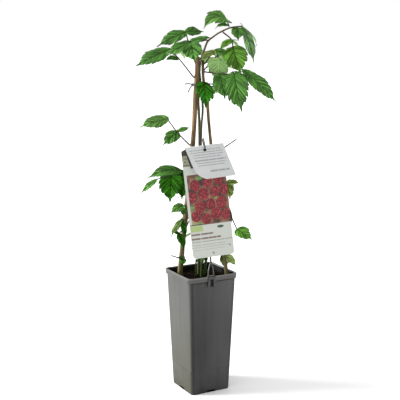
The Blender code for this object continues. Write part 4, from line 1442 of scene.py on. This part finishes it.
def disc(tree, across, along, x, y, radius, squash=1.0):
    """1 inside a circle or ellipse and 0 outside it."""
    dx = maths(tree, "SUBTRACT", across, x)
    dy = maths(tree, "MULTIPLY", maths(tree, "SUBTRACT", along, y), squash)
    square = maths(tree, "ADD", maths(tree, "MULTIPLY", dx, dx), maths(tree, "MULTIPLY", dy, dy))
    return spread(tree, maths(tree, "SQRT", square), radius, radius - 1.2)


def word_gaps(tree, across, scale, least):
    """A row of words seen from afar: dark stretches with paler ones between them."""
    row = add(tree, "ShaderNodeCombineXYZ", {"X": across}).outputs[0]
    return spread(tree, noise(tree, row, scale, 1), 0.36, 0.46, least, 1.0)


def print_lines(tree, card, across, along, gaps, lines, ink, soft=0.4):
    """Bars in place of lines of words, each over its own stretch of the card."""
    for left, right, low, high, colour in lines:
        line = maths(tree, "MULTIPLY", patch(tree, across, along, left, right, low, high, soft), gaps)
        card = blend(tree, maths(tree, "MULTIPLY", line, ink), card, colour)
    return card


# %% Front of the card
CARD = (0.43, 0.45, 0.415)
BERRY_FIELD = (-32.5, 40, 58, 147)
FRUITS = (
    (-24, 74, 9), (-6, 68, 9), (12, 76, 10), (29, 72, 9), (-15, 90, 10), (4, 93, 9), (23, 94, 10),
    (-27, 108, 9), (-7, 112, 10), (13, 114, 9), (30, 116, 9), (-20, 128, 9), (2, 132, 9), (22, 134, 9),
)
SPRIGS = ((-30, 90, 6), (15, 103, 5), (-12, 140, 7), (-16, 60, 5))
DOTS = ((17, 52, 6.5, 2.4, (0.03, 0.07, 0.04)), (30.5, 17, 2.2, 1.0, (0.20, 0.21, 0.21)))
FRONT_LINES = (
    (-36, 3, 40.5, 43.6, (0.10, 0.045, 0.035)),
    (-36, 16, 32.8, 36, (0.11, 0.05, 0.035)),
    (-36, 36, 28.2, 29.6, (0.16, 0.18, 0.13)),
    (-36, 24, 22.6, 23.8, (0.24, 0.27, 0.21)),
    (-36, 31, 18.4, 19.6, (0.26, 0.29, 0.24)),
    (-36, 20, 14.0, 15.0, (0.28, 0.31, 0.27)),
)


def berry_picture(tree, across, along, place):
    """Red berries and a few leaves on a brown ground that turns green at its lower left."""
    cloud = noise(tree, place, 0.06, 3)
    field = blend(tree, spread(tree, cloud, 0.35, 0.65), (0.035, 0.014, 0.014), (0.22, 0.11, 0.06))
    grassy = maths(tree, "MULTIPLY", spread(tree, across, -12, -30), spread(tree, along, 100, 70))
    field = blend(tree, grassy, field, (0.24, 0.25, 0.12))
    for x, y, radius in SPRIGS:
        field = blend(tree, disc(tree, across, along, x, y, radius, 1.9), field, (0.12, 0.22, 0.06))
    drupes = add(tree, "ShaderNodeTexVoronoi", {"Vector": place, "Scale": 0.42}).outputs["Distance"]
    fruit = blend(tree, spread(tree, drupes, 0.12, 0.55), (0.46, 0.035, 0.045), (0.11, 0.004, 0.008))
    fruit = blend(tree, spread(tree, drupes, 0.16, 0.04), fruit, (0.65, 0.30, 0.28))
    for x, y, radius in FRUITS:
        field = blend(tree, disc(tree, across, along, x, y, radius, 0.85), field, fruit)
    return field


def front_finish():
    """Printed berries, an olive strip, a dark one under the fold, word bars, and a painted flap shadow."""
    made, tree, shader = finish("label_front", 0.4, 0.4)
    across, along = sheet_place(tree)
    place = add(tree, "ShaderNodeCombineXYZ", {"X": across, "Y": along}).outputs[0]
    picture = berry_picture(tree, across, along, place)
    card = blend(tree, patch(tree, across, along, *BERRY_FIELD), CARD, picture)
    mottle = noise(tree, place, 0.35, 3)
    olive = blend(tree, spread(tree, mottle, 0.45, 0.62), (0.28, 0.30, 0.20), (0.07, 0.065, 0.045))
    slant = maths(tree, "MULTIPLY_ADD", along, 0.24, across)
    for sideways, edges, colour in (
        (across, (-40, 40, 162, 183), olive),
        (across, (-40, 40, 181, 190.5), (0.030, 0.020, 0.018)),
        # Painted shadow of the flap on the panel, beside and behind the flap's left edge.
        (slant, (14.6, 40, 158, 192), (0.035, 0.028, 0.020)),
        (across, (-36, -14, 58.6, 60), (0.03, 0.02, 0.02)),
        (across, (-36, -14, 47, 57.5, 1), (0.30, 0.38, 0.15)),
    ):
        card = blend(tree, patch(tree, sideways, along, *edges), card, colour)
    for x, y, radius, squash, colour in DOTS:
        card = blend(tree, disc(tree, across, along, x, y, radius, squash), card, colour)
    card = print_lines(tree, card, across, along, word_gaps(tree, across, 0.28, 0.25), FRONT_LINES, 0.85)
    coat(tree, shader, card, noise(tree, object_place(tree), 500, 2), 0.00005)
    return made


# %% Back of the card, which the flap shows
FLAP_CARD = (0.455, 0.465, 0.465)
FLAP_INK = (0.17, 0.18, 0.19)
FLAP_LINES = (
    (-24, 30, 206.0, 207.4), (-22, 34, 210.2, 211.6), (-20, 34, 214.4, 215.8), (-19, 30, 218.6, 220.0),
    (-17, 38, 223.4, 225.8), (-14, 38, 228.4, 229.8), (-12, 36, 232.6, 234.0), (8, 42, 242.5, 245.5),
    (-29, 29, 160, 161.4), (-29, 29, 152, 153.4), (-29, 12, 144, 145.4),
)


def back_finish():
    """A slightly cloudy card with lines of words as plain bars."""
    made, tree, shader = finish("label_back", 0.45, 0.4)
    across, along = sheet_place(tree)
    cloud = noise(tree, object_place(tree), 60, 2)
    card = blend(tree, cloud, shaded(FLAP_CARD, 0.95), shaded(FLAP_CARD, 1.06))
    lines = [(*line, FLAP_INK) for line in FLAP_LINES]
    card = print_lines(tree, card, across, along, word_gaps(tree, across, 0.3, 0.3), lines, 0.75, 0.5)
    coat(tree, shader, card, noise(tree, object_place(tree), 500, 2), 0.00005)
    return made


LABEL_FRONT = front_finish()
LABEL_BACK = back_finish()
print("label finishes:", LABEL_FRONT.name, LABEL_BACK.name)


# %% Sheet of the label
def label_frame():
    """The label's own frame: X across it, Y up it and Z out of its face."""
    return (
        Matrix.Translation(Vector(LABEL_FOOT) * MM)
        @ Matrix.Rotation(math.radians(LABEL_HEADING), 4, "Z")
        @ Matrix.Rotation(math.radians(90 - LABEL_LEAN), 4, "X")
        @ Matrix.Rotation(math.radians(LABEL_TURN), 4, "Z")
    )


def label_row(run):
    """The left and right edge, height and stand-off of the sheet, a distance along it."""
    half = LABEL_WIDTH / 2
    if run <= LABEL_HEIGHT:
        low = max(0, LABEL_CORNER - run)
        high = max(0, run - LABEL_HEIGHT + 4)
        trim = LABEL_CORNER - math.sqrt(LABEL_CORNER**2 - low**2)
        return trim - half + (half + FLAP_LEFT) * (high / 4) ** 2, half - trim, run, 0
    if run <= LABEL_HEIGHT + FOLD_LENGTH:
        angle = (run - LABEL_HEIGHT) / FOLD_RADIUS
        rise = LABEL_HEIGHT + FOLD_RADIUS * math.sin(angle)
        return FLAP_LEFT, half, rise, FOLD_RADIUS * (1 - math.cos(angle))
    down = (run - LABEL_HEIGHT - FOLD_LENGTH) / FLAP_LENGTH
    left = FLAP_LEFT + FLAP_SKEW * down + FLAP_CUT * down**8
    rounding = max(0, down - FLAP_CORNER_START) / (1 - FLAP_CORNER_START)
    right = half + FLAP_SKEW * down - FLAP_CORNER * rounding**2
    return left, right, LABEL_HEIGHT - FLAP_LENGTH * down, 2 * FOLD_RADIUS + FLAP_STAND_OFF * down


def label_mesh(across=36):
    """The sheet without its thickness, row by row, with its place on the flat sheet as its UV map."""
    fold_end = LABEL_HEIGHT + FOLD_LENGTH
    runs = np.concatenate(
        [
            np.linspace(0, LABEL_CORNER, 10)[:-1],
            np.linspace(LABEL_CORNER, LABEL_HEIGHT - 8, 60)[:-1],
            np.linspace(LABEL_HEIGHT - 8, LABEL_HEIGHT, 8)[:-1],
            np.linspace(LABEL_HEIGHT, fold_end, 16)[:-1],
            fold_end + FLAP_LENGTH * np.linspace(0, 1, 40),
        ]
    )
    shape = bmesh.new()
    sheet = shape.loops.layers.uv.new("sheet")
    rows = []
    for run in runs:
        left, right, rise, stand = label_row(min(run, fold_end + FLAP_LENGTH))
        flap = max(0, (run - fold_end) / FLAP_LENGTH)
        row = []
        for k in range(across + 1):
            reach = left + (right - left) * k / across
            wave = FLAP_WAVE * math.sin(reach / 9 + 1) * flap
            bow = LABEL_BOW * (reach * 2 / LABEL_WIDTH) ** 2
            spot = Vector((reach, rise, stand - bow + wave)) * MM
            row.append((shape.verts.new(spot), (reach / 100, run / 100)))
        rows.append(row)
    for lower, upper in zip(rows, rows[1:]):
        for k in range(across):
            ring = (lower[k], lower[k + 1], upper[k + 1], upper[k])
            face = shape.faces.new([vert for vert, place in ring])
            for corner, (vert, place) in zip(face.loops, ring):
                corner[sheet].uv = place
    return from_shape("label_sheet", shape)


def make_label():
    label = link("label_sheet", label_mesh(), LABEL_FRONT, LABEL_BACK)
    label.matrix_world = label_frame()
    bpy.context.view_layer.update()
    wall = label.modifiers.new("Thickness", "SOLIDIFY")
    wall.thickness = LABEL_THICK * MM
    wall.offset = 0
    wall.material_offset = 1
    wall.material_offset_rim = 1
    settle(label)
    hang_spot = label_frame() @ (Vector((*HANG_HOLE, 2 * FOLD_RADIUS + 1)) * MM)
    peg_spot = label_frame() @ (Vector((*PEG_HOLE, 0)) * MM)
    face = label_frame().to_3x3().to_4x4()
    carve(label, [rod(HANG_HOLE_RADIUS, 6, hang_spot, face), rod(PEG_HOLE_RADIUS, 4, peg_spot, face)])
    soften(label.data, 50)
    return dress(label, "label_card", "label")


make_label()

# %% [markdown]
# ## The holder
# A moulded rod stands behind the label, hooks forward through the hole in the flap, and forks at its foot
# into two legs. The legs run into a clip that grips the pot's wall, with a tongue between two rails down its
# outside. Such a piece could be one mesh drawn by hand. Here the round bars are swept along the same kind of
# path as the canes, and the clip is a few bevelled plates, so each size of it stays a named value.

# %% Holder
ROD_RADIUS = 1.6
HOOK_RADIUS = 1.2
ROD_SET_BACK = 3.2
CLIP_X = -6
FORK_ACROSS = -6.5
CLIP_WIDTH = 14
CLIP_WALL = 1.5
CLIP_OUTSIDE = 20
CLIP_INSIDE = 8
RAILS = (4.2, 3.2)
CLIP_COLLAR = 6
FORK_UP = -10
HOOK_START = 196
HOOK = ((202, -2.6), (206.5, 1.2), (206.8, 5.4), (202.5, 9), (196, 10.6), (191, 10.2))


def smooth_bar(name, path, radii, sides=16, spacing=0.001):
    """A bare plastic bar along a path."""
    return swept(name, path, radii, HOLDER_PLASTIC, sides=sides, spacing=spacing, relief=0.0, hairs=0.0)


def moulded_plate(size, place, plastic=HOLDER_PLASTIC):
    """A plate with small rounded edges."""
    plate = link("plate", box(size, place), plastic)
    edge = plate.modifiers.new("Edge", "BEVEL")
    edge.width = 0.35 * MM
    edge.segments = 3
    settle(plate)
    return plate


def clip_plates():
    """The clip's plates over the pot's rim, the middle of its depth and its top."""
    inner_y = -POT_RIM_HALF + RIM_THICK
    inside_y = inner_y + GAP + CLIP_WALL / 2
    outside_y = -POT_RIM_HALF - GAP - CLIP_WALL / 2
    top = POT_HEIGHT + GAP + CLIP_WALL
    middle_y = (inside_y + outside_y) / 2
    depth = inside_y - outside_y + CLIP_WALL
    plates = [
        ((CLIP_WIDTH, depth, CLIP_WALL), (CLIP_X, middle_y, top - CLIP_WALL / 2)),
        ((CLIP_WIDTH, CLIP_WALL, CLIP_INSIDE), (CLIP_X, inside_y, top - CLIP_INSIDE / 2)),
    ]
    for side, rail in zip((-1, 1), RAILS):
        x = CLIP_X + side * (CLIP_WIDTH - rail) / 2
        plates.append(((rail, CLIP_WALL, CLIP_OUTSIDE), (x, outside_y, top - CLIP_OUTSIDE / 2)))
    slot_width = CLIP_WIDTH - sum(RAILS) + 0.4
    slot_x = CLIP_X + (RAILS[0] - RAILS[1]) / 2
    plates.append(((slot_width, CLIP_WALL, CLIP_COLLAR), (slot_x, outside_y, top - CLIP_COLLAR / 2)))
    made = [moulded_plate(size, place) for size, place in plates]
    # The tongue's near-black finish is painted shade in the slot between the rails.
    tongue = (slot_width, CLIP_WALL * 0.5, CLIP_OUTSIDE - 1)
    tongue_place = (slot_x, outside_y + CLIP_WALL / 4, top - CLIP_OUTSIDE / 2)
    made.append(moulded_plate(tongue, tongue_place, HOLDER_TONGUE_SHADE))
    return made, middle_y, top


def make_holder():
    frame_of_label = label_frame()

    def on_label(across, up, out):
        return frame_of_label @ (Vector((across, up, out)) * MM)

    lean = (HANG_HOLE[0] - FORK_ACROSS) / (HANG_HOLE[1] - FORK_UP)

    def on_rod(up):
        return on_label(FORK_ACROSS + lean * (up - FORK_UP), up, -ROD_SET_BACK)

    fork = on_rod(FORK_UP)
    hold = HANG_HOLE[1] + HANG_HOLE_RADIUS - HOOK_RADIUS - GAP
    hook = [on_label(HANG_HOLE[0], up, out) for up, out in (*HOOK, (hold, 7.4), (hold, 4.6))]
    path = smooth_path([on_rod(up) for up in (FORK_UP, 50, 120, HOOK_START)] + hook, 2)
    bent = sum(1 for spot in path if (frame_of_label.inverted() @ spot).y > HOOK_START * MM)
    straight = len(path) - bent
    radii = [ROD_RADIUS + (HOOK_RADIUS - ROD_RADIUS) * min(1, k / straight) for k in range(len(path))]
    parts = [smooth_bar("holder_rod", path, radii, 20, 0.0012)]
    arm_up = PEG_HOLE[1]
    arm = [on_label(FORK_ACROSS + 17 * lean, arm_up, -ROD_SET_BACK), on_label(-1, arm_up, -ROD_SET_BACK)]
    arm = smooth_path(arm + [on_label(PEG_HOLE[0], arm_up, out) for out in (-2, 1)], 1)
    parts.append(smooth_bar("peg", arm, [PEG_HOLE_RADIUS - GAP] * len(arm)))
    plates, middle_y, top = clip_plates()
    for side in (-1, 1):
        foot = Vector((CLIP_X + side * (CLIP_WIDTH / 2 - 1.4), middle_y, top - 0.7)) * MM
        knee = (fork + foot) / 2 + Vector((side * 1.6 * MM, 0, 0))
        leg = smooth_path([fork, knee, foot], 1.5)
        parts.append(smooth_bar("leg", leg, [HOOK_RADIUS] * len(leg)))
    return dress(join("holder_fork", parts + plates), "holder_plastic", "label_holder")


make_holder()

# %% [markdown]
# ## Light and floor
# The photograph was lit in a white studio, so the plant stands on a plain white floor under a white sky.
# Area lamps would need a place and a size each. One soft sun is enough: it comes from the left and a little
# from behind, so the pot's left wall is much paler than its right one, as in the photograph.


# %% Sun, sky and floor
SUN_HEADING = 150
SUN_HEIGHT = 18
SUN_STRENGTH = 7.8
SUN_SPREAD = 25
FLOOR_WHITE = (0.92, 0.92, 0.92, 1)

lamp = bpy.data.lights.new("key_sun", "SUN")
lamp.energy = SUN_STRENGTH
lamp.angle = math.radians(SUN_SPREAD)
sun = bpy.data.objects.new("key_sun", lamp)
sun.rotation_euler = direction(SUN_HEADING, SUN_HEIGHT).to_track_quat("Z", "Y").to_euler()
bpy.context.scene.collection.objects.link(sun)

sky = bpy.data.worlds.new("studio")
sky.use_nodes = True
sky.node_tree.nodes["Background"].inputs["Color"].default_value = (1, 1, 1, 1)
sky.node_tree.nodes["Background"].inputs["Strength"].default_value = 1.0
bpy.context.scene.world = sky
bpy.context.scene.view_settings.view_transform = "Standard"

floor_shape = bmesh.new()
bmesh.ops.create_grid(floor_shape, x_segments=1, y_segments=1, size=30)
floor_paint, _, floor_shader = finish("floor_paper", 0.9, 0.1)
floor_shader.inputs["Base Color"].default_value = FLOOR_WHITE
floor = link("floor", from_shape("floor", floor_shape), floor_paint)
print("sun from", SUN_HEADING, "degrees, floor", floor.name)
